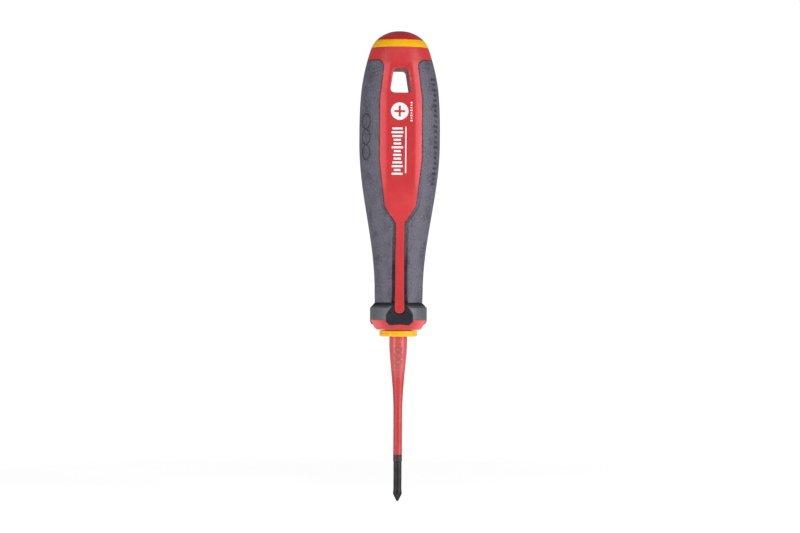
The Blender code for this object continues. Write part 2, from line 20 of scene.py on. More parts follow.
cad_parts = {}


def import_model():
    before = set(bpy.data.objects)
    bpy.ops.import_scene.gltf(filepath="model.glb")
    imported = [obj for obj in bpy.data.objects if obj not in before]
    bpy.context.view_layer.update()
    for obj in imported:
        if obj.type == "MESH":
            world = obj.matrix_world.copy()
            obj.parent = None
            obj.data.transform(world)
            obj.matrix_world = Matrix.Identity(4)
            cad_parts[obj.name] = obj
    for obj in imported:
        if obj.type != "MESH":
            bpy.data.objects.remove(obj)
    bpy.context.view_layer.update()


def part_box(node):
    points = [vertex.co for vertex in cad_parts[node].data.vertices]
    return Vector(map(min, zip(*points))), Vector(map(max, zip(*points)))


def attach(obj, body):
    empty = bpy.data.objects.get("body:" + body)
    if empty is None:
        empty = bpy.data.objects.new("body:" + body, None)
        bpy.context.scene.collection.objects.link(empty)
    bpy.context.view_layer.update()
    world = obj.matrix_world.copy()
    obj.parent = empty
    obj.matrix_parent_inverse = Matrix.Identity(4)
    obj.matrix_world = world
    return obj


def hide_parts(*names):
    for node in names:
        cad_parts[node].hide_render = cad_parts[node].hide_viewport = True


LOG = logging.getLogger("screwdriver")
MM = 0.001
PANEL_FACINGS = (0.0, math.radians(120.0), math.radians(-120.0))
Colour = tuple[float, float, float]
SocketPair = tuple[bpy.types.NodeSocket, bpy.types.NodeSocket]
GridPair = tuple[np.ndarray, np.ndarray]


# --- Small mathematics ---------------------------------------------------------

def ramp(value: np.ndarray, start: float, end: float) -> np.ndarray:
    """Return how far value is between start and end, kept within 0 and 1."""
    return np.clip((np.asarray(value, float) - start) / (end - start), 0.0, 1.0)


def smooth(value: np.ndarray, start: float, end: float) -> np.ndarray:
    """Return ramp with soft ends."""
    share = ramp(value, start, end)
    return share * share * (3.0 - 2.0 * share)


def ease(start: float, end: float, share: np.ndarray) -> np.ndarray:
    """Go along a half cosine from start to end."""
    return start + (end - start) * (1.0 - np.cos(math.pi * share)) / 2.0


def soft_line(value: np.ndarray, points: Sequence[tuple[float, float]], blur: float) -> np.ndarray:
    """Follow straight lines between points, with each corner rounded over about blur.

    Args:
        value: Where the line is read.
        points: Its corners as (value, result) pairs.
        blur: How far each way a corner is rounded.

    Returns:
        The results along the line.
    """
    xs = [x for x, _ in points]
    ys = [y for _, y in points]
    shifts = np.linspace(-blur, blur, 9)
    weights = np.cos(shifts / blur * math.pi / 2.0) + 0.05
    total = sum(weight * np.interp(value + shift, xs, ys) for weight, shift in zip(weights, shifts))
    return total / weights.sum()


def edge_drop(distance: np.ndarray, radius: float) -> np.ndarray:
    """Return how far a rounded edge drops at a distance inside its outline."""
    inward = np.clip(radius - distance, 0.0, radius)
    return radius - np.sqrt(np.maximum(radius * radius - inward * inward, 0.0))


def polar(facing: np.ndarray, radius: np.ndarray, height: np.ndarray) -> np.ndarray:
    """Return points from facings, radii and heights of the same shape."""
    return np.stack([radius * np.sin(facing), -radius * np.cos(facing), height + 0.0 * facing], axis=-1)


# --- Meshes --------------------------------------------------------------------

def quads(rows: int, columns: int, around: bool, loop: bool) -> np.ndarray:
    """Return the quad indices of a grid of points, with optional closed directions.

    Args:
        rows: The number of rows.
        columns: The number of columns.
        around: Whether the last column joins the first.
        loop: Whether the last row joins the first.

    Returns:
        Four point indices for each face.
    """
    index = np.arange(rows * columns).reshape(rows, columns)
    if around:
        index = np.concatenate([index, index[:, :1]], axis=1)
    if loop:
        index = np.concatenate([index, index[:1]], axis=0)
    corners = [index[:-1, :-1], index[:-1, 1:], index[1:, 1:], index[1:, :-1]]
    return np.stack(corners, axis=-1).reshape(-1, 4)


def set_painted_light(thing: bpy.types.Object, tone: np.ndarray) -> bpy.types.Object:
    """Store each point's painted light: 1 is its finish's painted highlight colour, -1 its painted shade
    colour.

    Args:
        thing: The object that takes the painted light.
        tone: The painted light for each point; points past its end get 0.

    Returns:
        The same object.
    """
    attribute = thing.data.attributes.new("tone", "FLOAT", "POINT")
    values = np.zeros(len(thing.data.vertices), np.float32)
    flat = np.asarray(tone, np.float32).reshape(-1)
    values[:len(flat)] = flat
    attribute.data.foreach_set("value", values)
    return thing


def mesh_object(
    name: str, points: np.ndarray, faces: list[list[int]], crease: float = 32.0,
) -> bpy.types.Object:
    """Make a shaded object from points and faces, with its normals outward.

    Args:
        name: The object's name.
        points: The coordinates of each point.
        faces: The point indices of each face.
        crease: The angle in degrees above which an edge is sharp.

    Returns:
        The object, linked to the scene.
    """
    mesh = bpy.data.meshes.new(name)
    mesh.from_pydata(points.tolist(), [], faces)
    bm = bmesh.new()
    bm.from_mesh(mesh)
    bmesh.ops.recalc_face_normals(bm, faces=bm.faces)
    bm.to_mesh(mesh)
    bm.free()
    mesh.shade_smooth()
    mesh.set_sharp_from_angle(angle=math.radians(crease))
    thing = bpy.data.objects.new(name, mesh)
    bpy.context.collection.objects.link(thing)
    return thing


def skin(name: str, rings: np.ndarray, loop: bool = False, crease: float = 32.0) -> bpy.types.Object:
    """Make a closed surface from rings of points about the Z axis.

    Args:
        name: The object's name.
        rings: An array of rows, columns and coordinates.
        loop: Whether the last ring joins the first; otherwise both ends are capped.
        crease: The angle in degrees above which an edge is sharp.

    Returns:
        The object, linked to the scene.
    """
    rows, columns = rings.shape[:2]
    points = rings.reshape(-1, 3)
    faces = quads(rows, columns, True, loop).tolist()
    if not loop:
        for ring in (0, rows - 1):
            centre = len(points)
            points = np.vstack([points, rings[ring].mean(axis=0)])
            start = ring * columns
            faces += [[start + i, start + (i + 1) % columns, centre] for i in range(columns)]
    return mesh_object(name, points, faces, crease)


def turned(
    name: str, profile: Sequence[tuple[float, float]], count: int, loop: bool = False,
) -> bpy.types.Object:
    """Make a turned solid from (radius, height) points.

    Args:
        name: The object's name.
        profile: The outline, from its inside or its low end.
        count: The number of columns around.
        loop: Whether the outline is closed.

    Returns:
        The object, linked to the scene.
    """
    outline = np.array(profile)
    facings = np.linspace(0.0, 2.0 * math.pi, count, endpoint=False)
    rings = polar(facings[None, :] + 0.0 * outline[:, :1], outline[:, :1] + 0.0 * facings, outline[:, 1:])
    return skin(name, rings, loop)


def slab(name: str, outer: np.ndarray, inner: np.ndarray, crease: float = 32.0) -> bpy.types.Object:
    """Make a closed plate from its outer and inner grids of points.

    Args:
        name: The object's name.
        outer: The rows and columns of the outer face.
        inner: The same for the inner face.
        crease: The angle in degrees above which an edge is sharp.

    Returns:
        The object, linked to the scene.
    """
    rows, columns = outer.shape[:2]
    points = np.vstack([outer.reshape(-1, 3), inner.reshape(-1, 3)])
    face = quads(rows, columns, False, False)
    back = face[:, ::-1] + rows * columns
    index = np.arange(rows * columns).reshape(rows, columns)
    rim = np.concatenate([index[0, :-1], index[:-1, -1], index[-1, :0:-1], index[:0:-1, 0]])
    following = np.roll(rim, -1)
    offset = rows * columns
    sides = np.stack([following, rim, rim + offset, following + offset], axis=-1)
    return mesh_object(name, points, np.vstack([face, back, sides]).tolist(), crease)


def settled(thing: bpy.types.Object, crease: float = 32.0) -> bpy.types.Object:
    """Replace an object's mesh by the result of its modifiers and remove them.

    Args:
        thing: The object with live modifiers.
        crease: The angle in degrees above which an edge is sharp.

    Returns:
        The same object, with a plain mesh.
    """
    bpy.context.view_layer.update()
    graph = bpy.context.evaluated_depsgraph_get()
    mesh = bpy.data.meshes.new_from_object(thing.evaluated_get(graph))
    thing.modifiers.clear()
    thing.data = mesh
    mesh.shade_smooth()
    mesh.set_sharp_from_angle(angle=math.radians(crease))
    return thing


# --- The handle's form -----------------------------------------------------------

@dataclass(frozen=True)
class HandleForm:
    """The outer form of the handle, with its heights taken from the frame."""

    bottom: float
    shell_bottom: float
    pad_bottom: float
    collar_top: float
    neck: float
    butt: float
    grip_top: float
    back_top: float
    belly_radius: float
    collar_radius: float
    waist_radius: float = 8.7 * MM
    neck_radius: float = 10.45 * MM
    flange_radius: float = 8.2 * MM
    flat_distance: float = 9.17 * MM
    belly_from_butt: float = 40.4 * MM
    lobe: float = 0.055
    lobe_fade: float = 22.5 * MM
    flange_height: float = 3.7 * MM
    shoulder_drop: float = 1.8 * MM
    waist_above_collar: float = 3.8 * MM

    @classmethod
    def from_frame(cls) -> HandleForm:
        """Read the handle's heights and widths from the frame's pieces.

        Returns:
            The handle's form.
        """
        shell_low, shell_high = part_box("handle_shell")
        collar_low, collar_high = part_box("anti_roll_collar")
        back_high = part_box("grip_back")[1]
        return cls(
            bottom=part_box("handle_core")[0].z,
            shell_bottom=shell_low.z,
            pad_bottom=collar_low.z,
            collar_top=collar_high.z,
            neck=shell_high.z,
            butt=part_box("end_cap")[1].z,
            grip_top=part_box("grip_left")[1].z + 0.1 * MM,
            back_top=back_high.z,
            belly_radius=(back_high.y - 0.03 * MM) / 1.055,
            collar_radius=collar_high.x - 0.03 * MM,
        )

    @property
    def flange_top(self) -> float:
        """Height where the flange meets the collar."""
        return self.shell_bottom + self.flange_height

    @property
    def shoulder(self) -> float:
        """Height where the collar starts to narrow."""
        return self.collar_top - self.shoulder_drop

    @property
    def waist(self) -> float:
        """Height of the slimmest part."""
        return self.collar_top + self.waist_above_collar

    @property
    def belly(self) -> float:
        """Height of the widest part."""
        return self.butt - self.belly_from_butt

    def mean_radius(self, height: np.ndarray) -> np.ndarray:
        """Return the mean outer radius between the collar and the neck.

        Args:
            height: Heights above the tip.

        Returns:
            The radii.
        """
        rising = ease(self.waist_radius, self.belly_radius, ramp(height, self.waist, self.belly))
        closing = (self.belly_radius - self.neck_radius) * ramp(height, self.belly, self.neck) ** 3
        return np.where(height <= self.belly, rising, self.belly_radius - closing)

    def surface(self, facing: np.ndarray, height: np.ndarray) -> np.ndarray:
        """Return the radius of the three-lobed surface.

        Args:
            facing: Facings from a panel's middle.
            height: Heights above the tip.

        Returns:
            The radii.
        """
        grown = ramp(height, self.shoulder, self.waist)
        kept = 1.0 - ease(0.0, 1.0, ramp(height, self.butt - self.lobe_fade, self.neck))
        return self.mean_radius(height) * (1.0 - self.lobe * grown * kept * np.cos(3.0 * facing))

    def facing_at(self, half_width: np.ndarray, height: np.ndarray) -> np.ndarray:
        """Return the facing, from a panel's middle, at which a half width is reached.

        Args:
            half_width: Distances across from a panel's middle.
            height: Heights above the tip.

        Returns:
            The facings.
        """
        facing = np.arcsin(np.clip(half_width / self.surface(0.0, height), 0.0, 0.95))
        for _ in range(3):
            facing = np.arcsin(np.clip(half_width / self.surface(facing, height), 0.0, 0.95))
        return facing


@dataclass(frozen=True)
class PanelOutline:
    """The outline of a red panel between two grips, with its stripe below."""

    form: HandleForm
    stripe: float = 1.6 * MM
    stripe_end: float = 8.5 * MM
    stripe_end_round: float = 1.5 * MM
    stripe_top: float = 41.3 * MM
    hip: float = 47.3 * MM
    hip_width: float = 5.7 * MM
    wide_height: float = 64.0 * MM
    wide: float = 7.7 * MM
    narrowing_from_butt: float = 25.4 * MM
    top_width: float = 5.9 * MM
    corner: float = 3.0 * MM
    field: float = 5.1 * MM
    field_top: float = 3.8 * MM

    @property
    def end_height(self) -> float:
        """Height of the stripe's lower end."""
        return self.form.bottom + self.stripe_end

    def straight(self, height: np.ndarray, top: float) -> np.ndarray:
        """Return the half width without the grip's rounded corner.

        Args:
            height: Heights above the tip.
            top: Where the neighbouring grip ends.

        Returns:
            The half widths.
        """
        form = self.form
        points = [
            (form.bottom, self.stripe),
            (form.bottom + self.stripe_top, self.stripe),
            (form.bottom + self.hip, self.hip_width),
            (form.bottom + self.wide_height, self.wide),
        ]
        if top >= form.grip_top:
            points += [(form.butt - self.narrowing_from_butt, self.wide), (top, self.top_width)]
        return soft_line(height, points, 1.1 * MM)

    def half_width(self, height: np.ndarray, top: float) -> np.ndarray:
        """Return a panel's half width beside a grip that ends at top.

        Args:
            height: Heights above the tip.
            top: Where the neighbouring grip ends.

        Returns:
            The half widths.
        """
        width = self.straight(height, top)
        into = np.clip(height - (top - self.corner), 0.0, self.corner)
        width = width + self.corner - np.sqrt(self.corner ** 2 - into ** 2)
        width = np.where(height > top, self.straight(height, top), width)
        up = np.clip(height - self.end_height, 0.0, self.stripe_end_round)
        end = 1.0 - (self.stripe_end_round - up) / self.stripe_end_round
        tip = np.sqrt(np.maximum(1.0 - (1.0 - end) ** 2, 0.0))
        return np.maximum(width * np.where(height < self.end_height, 1.0, tip), 0.05 * MM)

    def field_width(self, height: np.ndarray) -> np.ndarray:
        """Return the half width of the flat field inside a panel.

        Args:
            height: Heights above the tip.

        Returns:
            The half widths.
        """
        form = self.form
        points = [
            (form.bottom + self.stripe_top, 0.5 * self.stripe),
            (form.bottom + self.hip, 0.62 * self.hip_width),
            (form.bottom + self.hip + 6.0 * MM, self.field),
            (form.butt - 23.0 * MM, self.field),
            (form.butt - 12.5 * MM, self.field_top),
            (form.neck, 0.8 * self.field_top),
        ]
        return soft_line(height, points, 1.0 * MM)

    def field_fade(self, height: np.ndarray) -> np.ndarray:
        """Return how flat the field is: 1 fully flat, 0 following the round form.

        Args:
            height: Heights above the tip.

        Returns:
            The shares.
        """
        low = self.form.bottom + 50.0 * MM
        high = self.form.butt - 13.4 * MM
        return smooth(height, low, low + 8.0 * MM) * (1.0 - smooth(height, high, high + 2.6 * MM))

    def field_distance(self, height: np.ndarray) -> np.ndarray:
        """Return the flat field's distance from the axis."""
        facing = self.form.facing_at(self.field_width(height), height)
        return self.form.surface(facing, height) * np.cos(facing)


@dataclass(frozen=True)
class HangingHole:
    """The tapered hole through the butt end of the handle."""

    form: HandleForm
    low_width: float = 3.8 * MM
    high_width: float = 2.8 * MM
    top_from_butt: float = 14.0 * MM
    height: float = 8.9 * MM
    corner: float = 1.5 * MM
    rim: float = 0.55 * MM
    wall_rows: int = 41

    @property
    def top(self) -> float:
        """Height of the hole's top."""
        return self.form.butt - self.top_from_butt

    @property
    def bottom(self) -> float:
        """Height of the hole's bottom."""
        return self.top - self.height

    def distance(self, across: np.ndarray, height: np.ndarray) -> np.ndarray:
        """Return the distance outside the hole's outline, negative inside it.

        Args:
            across: Distances from the tool's middle plane.
            height: Heights above the tip.

        Returns:
            The distances.
        """
        share = ramp(height, self.bottom, self.top)
        side = np.abs(across) - (self.low_width + (self.high_width - self.low_width) * share) + self.corner
        middle = (self.bottom + self.top) / 2.0
        end = np.abs(height - middle) - self.height / 2.0 + self.corner
        outside = np.hypot(np.maximum(side, 0.0), np.maximum(end, 0.0))
        return outside + np.minimum(np.maximum(side, end), 0.0) - self.corner

    def outline(self, steps: int = 12) -> list[Vector]:
        """Return the rounded outline as (across, height) points.

        Args:
            steps: The number of steps around each corner.

        Returns:
            The points in order.
        """
        points = []
        corners = [
            (self.low_width, self.bottom, -90.0), (self.high_width, self.top, 0.0),
            (-self.high_width, self.top, 90.0), (-self.low_width, self.bottom, 180.0),
        ]
        for across, height, start in corners:
            centre_across = across - math.copysign(self.corner, across)
            centre_height = height + (self.corner if height == self.bottom else -self.corner)
            for i in range(steps + 1):
                angle = math.radians(start + 90.0 * i / steps)
                points.append(Vector((
                    centre_across + self.corner * math.cos(angle),
                    centre_height + self.corner * math.sin(angle),
                )))
        return points

    def cutter(self) -> bpy.types.Object:
        """Return the hole as a solid that runs right through the handle.

        Returns:
            The cutter, linked to the scene.
        """
        outline = self.outline()
        count = len(outline)
        rows = np.linspace(-2.0, 2.0, self.wall_rows) * self.form.belly_radius
        points = [(point.x, row, point.y) for row in rows for point in outline]
        faces = quads(len(rows), count, True, False).tolist()
        faces += [list(range(count)), list(range(len(points) - count, len(points)))]
        return mesh_object("hole_cutter", np.array(points), faces)


# --- Shared shader effects ---------------------------------------------------------

class NodeSheet:
    """Adds and joins nodes in one node tree, left to right."""

    def __init__(self, tree: bpy.types.NodeTree) -> None:
        """Start a sheet in a node tree."""
        self.tree = tree
        self.column = 0

    def add(self, kind: str, **settings: object) -> bpy.types.Node:
        """Add a node and set its properties.

        Args:
            kind: The node's type.
            settings: Its properties by name.

        Returns:
            The node.
        """
        node = self.tree.nodes.new(kind)
        self.column += 1
        node.location = (180.0 * self.column - 2400.0, 0.0)
        for key, value in settings.items():
            setattr(node, key, value)
        return node

    def feed(self, node: bpy.types.Node, **sources: object) -> bpy.types.Node:
        """Join or set inputs by name, with underscores read as spaces.

        Args:
            node: The node to feed.
            sources: A socket or a value for each input.

        Returns:
            The same node.
        """
        for key, source in sources.items():
            target = node.inputs[key.replace("_", " ")]
            self.put(source, target)
        return node

    def put(self, source: object, target: bpy.types.NodeSocket) -> None:
        """Join a socket, or set a plain value.

        Args:
            source: The socket or the value.
            target: The input that takes it.
        """
        if isinstance(source, bpy.types.NodeSocket):
            self.tree.links.new(source, target)
        else:
            target.default_value = source

    def maths(self, operation: str, first: object, second: object = 0.0) -> bpy.types.NodeSocket:
        """Return the result of a maths node.

        Args:
            operation: The node's operation.
            first: Its first socket or value.
            second: Its second socket or value.

        Returns:
            The result.
        """
        node = self.add("ShaderNodeMath", operation=operation)
        self.put(first, node.inputs[0])
        self.put(second, node.inputs[1])
        return node.outputs[0]

    def span(
        self, value: object, low: float, high: float, to_low: object, to_high: object,
    ) -> bpy.types.NodeSocket:
        """Return a value mapped from one range to another, kept within it.

        Args:
            value: The value to map.
            low: Where the first range starts.
            high: Where it ends.
            to_low: The result at low.
            to_high: The result at high.

        Returns:
            The result.
        """
        node = self.add("ShaderNodeMapRange", interpolation_type="SMOOTHSTEP")
        self.feed(node, Value=value, From_Min=low, From_Max=high, To_Min=to_low, To_Max=to_high)
        return node.outputs["Result"]

    def blend(self, factor: object, first: object, second: object, mode: str = "MIX") -> bpy.types.NodeSocket:
        """Return two colours mixed.

        Args:
            factor: The share of the second colour.
            first: The first colour.
            second: The second colour.
            mode: How they are mixed.

        Returns:
            The mixed colour.
        """
        node = self.add("ShaderNodeMix", data_type="RGBA", blend_type=mode)
        self.put(factor, node.inputs[0])
        self.put(first, node.inputs[6])
        self.put(second, node.inputs[7])
        return node.outputs[2]


class Effect(Enum):
    """The surface effects that several finishes share."""

    GRAIN = "fine_grain"
    SPECKLE = "moulded_speckle"
    WEAR = "edge_wear"
    DUST = "dust_film"
    FLOW = "draw_lines"

    def group(self) -> bpy.types.NodeTree:
        """Return the effect's node group, built the first time it is used.

        Returns:
            The node group.
        """
        found = bpy.data.node_groups.get(self.value)
        if found:
            return found
        tree = bpy.data.node_groups.new(self.value, "ShaderNodeTree")
        tree.interface.new_socket(name="Vector", in_out="INPUT", socket_type="NodeSocketVector")
        scale = tree.interface.new_socket(name="Scale", in_out="INPUT", socket_type="NodeSocketFloat")
        scale.default_value = 1000.0
        tree.interface.new_socket(name="Mask", in_out="OUTPUT", socket_type="NodeSocketFloat")
        tree.interface.new_socket(name="Height", in_out="OUTPUT", socket_type="NodeSocketFloat")
        sheet = NodeSheet(tree)
        given = sheet.add("NodeGroupInput")
        mask, height = getattr(self, f"_{self.name.lower()}")(sheet, given)
        result = sheet.add("NodeGroupOutput")
        sheet.feed(result, Mask=mask, Height=height)
        return tree

    def _grain(self, sheet: NodeSheet, given: bpy.types.Node) -> SocketPair:
        """Fine moulding grain with slow blotches in it.

        Args:
            sheet: The sheet of the group's tree.
            given: The group's input node.

        Returns:
            The mask and the height.
        """
        fine = sheet.add("ShaderNodeTexNoise")
        sheet.feed(
            fine, Vector=given.outputs["Vector"], Scale=given.outputs["Scale"], Detail=5.0, Roughness=0.6)
        slow = sheet.add("ShaderNodeTexNoise")
        broad = sheet.maths("MULTIPLY", given.outputs["Scale"], 0.06)
        sheet.feed(slow, Vector=given.outputs["Vector"], Scale=broad, Detail=3.0)
        mixed = sheet.maths("MULTIPLY", sheet.maths("ADD", fine.outputs["Fac"], slow.outputs["Fac"]), 0.5)
        return sheet.span(mixed, 0.38, 0.62, 0.0, 1.0), fine.outputs["Fac"]

    def _speckle(self, sheet: NodeSheet, given: bpy.types.Node) -> SocketPair:
        """Raised dots of a spark-eroded mould, uneven in size.

        Args:
            sheet: The sheet of the group's tree.
            given: The group's input node.

        Returns:
            The mask and the height.
        """
        dots = sheet.add("ShaderNodeTexVoronoi", feature="SMOOTH_F1")
        sheet.feed(dots, Vector=given.outputs["Vector"], Scale=given.outputs["Scale"], Smoothness=0.4)
        noise = sheet.add("ShaderNodeTexNoise")
        sheet.feed(noise, Vector=given.outputs["Vector"], Scale=given.outputs["Scale"], Detail=4.0)
        dome = sheet.span(dots.outputs["Distance"], 0.1, 0.7, 1.0, 0.0)
        height = sheet.maths("ADD", dome, noise.outputs["Fac"])
        return sheet.span(height, 0.75, 1.35, 0.0, 1.0), height

    def _wear(self, sheet: NodeSheet, given: bpy.types.Node) -> SocketPair:
        """Rubbed convex edges, broken up by noise.

        Args:
            sheet: The sheet of the group's tree.
            given: The group's input node.

        Returns:
            The mask and the height.
        """
        geometry = sheet.add("ShaderNodeNewGeometry")
        noise = sheet.add("ShaderNodeTexNoise")
        sheet.feed(noise, Vector=given.outputs["Vector"], Scale=given.outputs["Scale"], Detail=6.0)
        edge = sheet.span(geometry.outputs["Pointiness"], 0.51, 0.60, 0.0, 1.0)
        broken = sheet.span(noise.outputs["Fac"], 0.40, 0.62, 0.15, 1.0)
        mask = sheet.maths("MULTIPLY", edge, broken)
        return mask, noise.outputs["Fac"]

    def _dust(self, sheet: NodeSheet, given: bpy.types.Node) -> SocketPair:
        """A thin film that gathers in hollows and faint smudges.

        Args:
            sheet: The sheet of the group's tree.
            given: The group's input node.

        Returns:
            The mask and the height.
        """
        geometry = sheet.add("ShaderNodeNewGeometry")
        noise = sheet.add("ShaderNodeTexNoise")
        sheet.feed(
            noise, Vector=given.outputs["Vector"], Scale=given.outputs["Scale"], Detail=7.0, Roughness=0.65)
        hollow = sheet.span(geometry.outputs["Pointiness"], 0.42, 0.50, 1.0, 0.0)
        smudge = sheet.span(noise.outputs["Fac"], 0.45, 0.75, 0.0, 1.0)
        mask = sheet.maths("MAXIMUM", sheet.maths("MULTIPLY", hollow, 0.8), smudge)
        return mask, noise.outputs["Fac"]

    def _flow(self, sheet: NodeSheet, given: bpy.types.Node) -> SocketPair:
        """Fine lines drawn out along the length.

        Args:
            sheet: The sheet of the group's tree.
            given: The group's input node.

        Returns:
            The mask and the height.
        """
        stretch = sheet.add("ShaderNodeVectorMath", operation="MULTIPLY")
        sheet.put(given.outputs["Vector"], stretch.inputs[0])
        sheet.put((1.0, 1.0, 0.06), stretch.inputs[1])
        noise = sheet.add("ShaderNodeTexNoise")
        sheet.feed(noise, Vector=stretch.outputs[0], Scale=given.outputs["Scale"], Detail=6.0, Roughness=0.7)
        return sheet.span(noise.outputs["Fac"], 0.35, 0.65, 0.0, 1.0), noise.outputs["Fac"]


@dataclass(frozen=True)
class HeightTint:
    """A change of colour between two heights: it starts at low and is full at high."""

    low: float
    high: float
    colour: Colour
    amount: float = 1.0


@dataclass(frozen=True)
class Finish:
    """One finish: its colours, its shine and its fine relief."""

    name: str
    colour: Colour
    mottle: Colour
    roughness: float
    rough_swing: float = 0.08
    metallic: float = 0.0
    coat: float = 0.0
    coat_roughness: float = 0.1
    specular: float = 0.5
    grain_scale: float = 4000.0
    grain_height: float = 0.004 * MM
    speckle_scale: float = 0.0
    speckle_height: float = 0.0
    flow_scale: float = 0.0
    flow_height: float = 0.0
    # The next two colours are painted shade and painted highlight, laid on where the stored per-point painted
    # light asks for them.
    dark: Colour = (0.02, 0.02, 0.02)
    pale: Colour = (0.8, 0.8, 0.8)
    wear_colour: Colour = (0.8, 0.6, 0.6)
    wear_amount: float = 0.0
    dust_colour: Colour = (0.5, 0.48, 0.46)
    dust_amount: float = 0.03
    tints: tuple[HeightTint, ...] = ()
    has_painted_light: bool = False
    dull_painted_shade: bool = False

    def material(self) -> bpy.types.Material:
        """Return the finish's material, built the first time it is used.

        Returns:
            The material.
        """
        found = bpy.data.materials.get(self.name)
        if found:
            return found
        made = bpy.data.materials.new(self.name)
        made.use_nodes = True
        made.diffuse_color = (*self.colour, 1.0)
        sheet = NodeSheet(made.node_tree)
        shader = made.node_tree.nodes["Principled BSDF"]
        place = sheet.add("ShaderNodeTexCoord").outputs["Object"]
        grain = self._effect(sheet, Effect.GRAIN, place, self.grain_scale)
        colour = sheet.blend(grain.outputs["Mask"], (*self.colour, 1.0), (*self.mottle, 1.0))
        relief = [(grain.outputs["Height"], self.grain_height)]
        if self.speckle_scale:
            speckle = self._effect(sheet, Effect.SPECKLE, place, self.speckle_scale)
            colour = sheet.blend(
                sheet.maths("MULTIPLY", speckle.outputs["Mask"], 0.75), colour, (*self.mottle, 1.0))
            relief.append((speckle.outputs["Height"], self.speckle_height))
        if self.flow_scale:
            flow = self._effect(sheet, Effect.FLOW, place, self.flow_scale)
            colour = sheet.blend(
                sheet.maths("MULTIPLY", flow.outputs["Mask"], 0.5), colour, (*self.mottle, 1.0))
            relief.append((flow.outputs["Height"], self.flow_height))
        colour = self._tinted(sheet, place, colour)
        shader.inputs["Metallic"].default_value = self.metallic
        shader.inputs["Coat Weight"].default_value = self.coat
        shader.inputs["Coat Roughness"].default_value = self.coat_roughness
        shader.inputs["Specular IOR Level"].default_value = self.specular
        # Painted shade and painted highlight from the per-point attribute.
        if self.has_painted_light:
            colour, dark = self._add_painted_light(sheet, colour)
            self._dull(sheet, shader, dark)
        if self.wear_amount:
            wear = self._effect(sheet, Effect.WEAR, place, 900.0)
            factor = sheet.maths("MULTIPLY", wear.outputs["Mask"], self.wear_amount)
            colour = sheet.blend(factor, colour, (*self.wear_colour, 1.0))
        dust = self._effect(sheet, Effect.DUST, place, 260.0)
        factor = sheet.maths("MULTIPLY", dust.outputs["Mask"], self.dust_amount)
        colour = sheet.blend(factor, colour, (*self.dust_colour, 1.0))
        smoothest = self.roughness - self.rough_swing
        roughest = self.roughness + self.rough_swing
        rough = sheet.span(grain.outputs["Mask"], 0.0, 1.0, smoothest, roughest)
        sheet.feed(shader, Base_Color=colour, Roughness=rough, Normal=self._bumps(sheet, relief))
        return made

    @staticmethod
    def _effect(
        sheet: NodeSheet, effect: Effect, place: bpy.types.NodeSocket, scale: float,
    ) -> bpy.types.Node:
        """Add a shared effect and feed it."""
        node = sheet.add("ShaderNodeGroup", node_tree=effect.group())
        return sheet.feed(node, Vector=place, Scale=scale)

    def _tinted(self, sheet: NodeSheet, place: bpy.types.NodeSocket, colour: object) -> object:
        """Lay the height tints over a colour.

        Args:
            sheet: The sheet of the material's tree.
            place: The Object coordinates.
            colour: The colour so far.

        Returns:
            The tinted colour.
        """
        if not self.tints:
            return colour
        height = sheet.add("ShaderNodeSeparateXYZ")
        sheet.put(place, height.inputs[0])
        for tint in self.tints:
            factor = sheet.span(height.outputs["Z"], tint.low, tint.high, 0.0, tint.amount)
            colour = sheet.blend(factor, colour, (*tint.colour, 1.0))
        return colour

    def _add_painted_light(self, sheet: NodeSheet, colour: object) -> SocketPair:
        """Lay the stored painted shade and painted highlight over a colour; return it and the painted shade
        share.

        Args:
            sheet: The sheet of the material's tree.
            colour: The colour so far.

        Returns:
            The colour with its painted shade and highlight, and the painted shade share.
        """
        tone = sheet.add("ShaderNodeAttribute", attribute_name="tone").outputs["Fac"]
        colour = sheet.blend(sheet.maths("MAXIMUM", tone, 0.0), colour, (*self.pale, 1.0))
        dark = sheet.maths("MAXIMUM", sheet.maths("MULTIPLY", tone, -1.0), 0.0)
        return sheet.blend(dark, colour, (*self.dark, 1.0)), dark

    def _dull(self, sheet: NodeSheet, shader: bpy.types.Node, dark: bpy.types.NodeSocket) -> None:
        """Take the coat, and where asked the shine, away from the painted shade.

        Args:
            sheet: The sheet of the material's tree.
            shader: The material's shader.
            dark: The painted shade share.
        """
        if self.coat:
            sheet.put(sheet.span(dark, 0.0, 0.5, self.coat, 0.0), shader.inputs["Coat Weight"])
        if self.dull_painted_shade:
            sheet.put(sheet.span(dark, 0.2, 0.5, self.specular, 0.0), shader.inputs["Specular IOR Level"])

    @staticmethod
    def _bumps(sheet: NodeSheet, relief: list[tuple[bpy.types.NodeSocket, float]]) -> bpy.types.NodeSocket:
        """Chain one bump for each relief and return the final normal.

        Args:
            sheet: The sheet of the material's tree.
            relief: A height and its distance for each bump.

        Returns:
            The normal.
        """
        normal = None
        for height, distance in relief:
            bump = sheet.add("ShaderNodeBump")
            sheet.feed(bump, Height=height, Distance=distance, Strength=1.0)
            if normal is not None:
                sheet.put(normal, bump.inputs["Normal"])
            normal = bump.outputs["Normal"]
        return normal


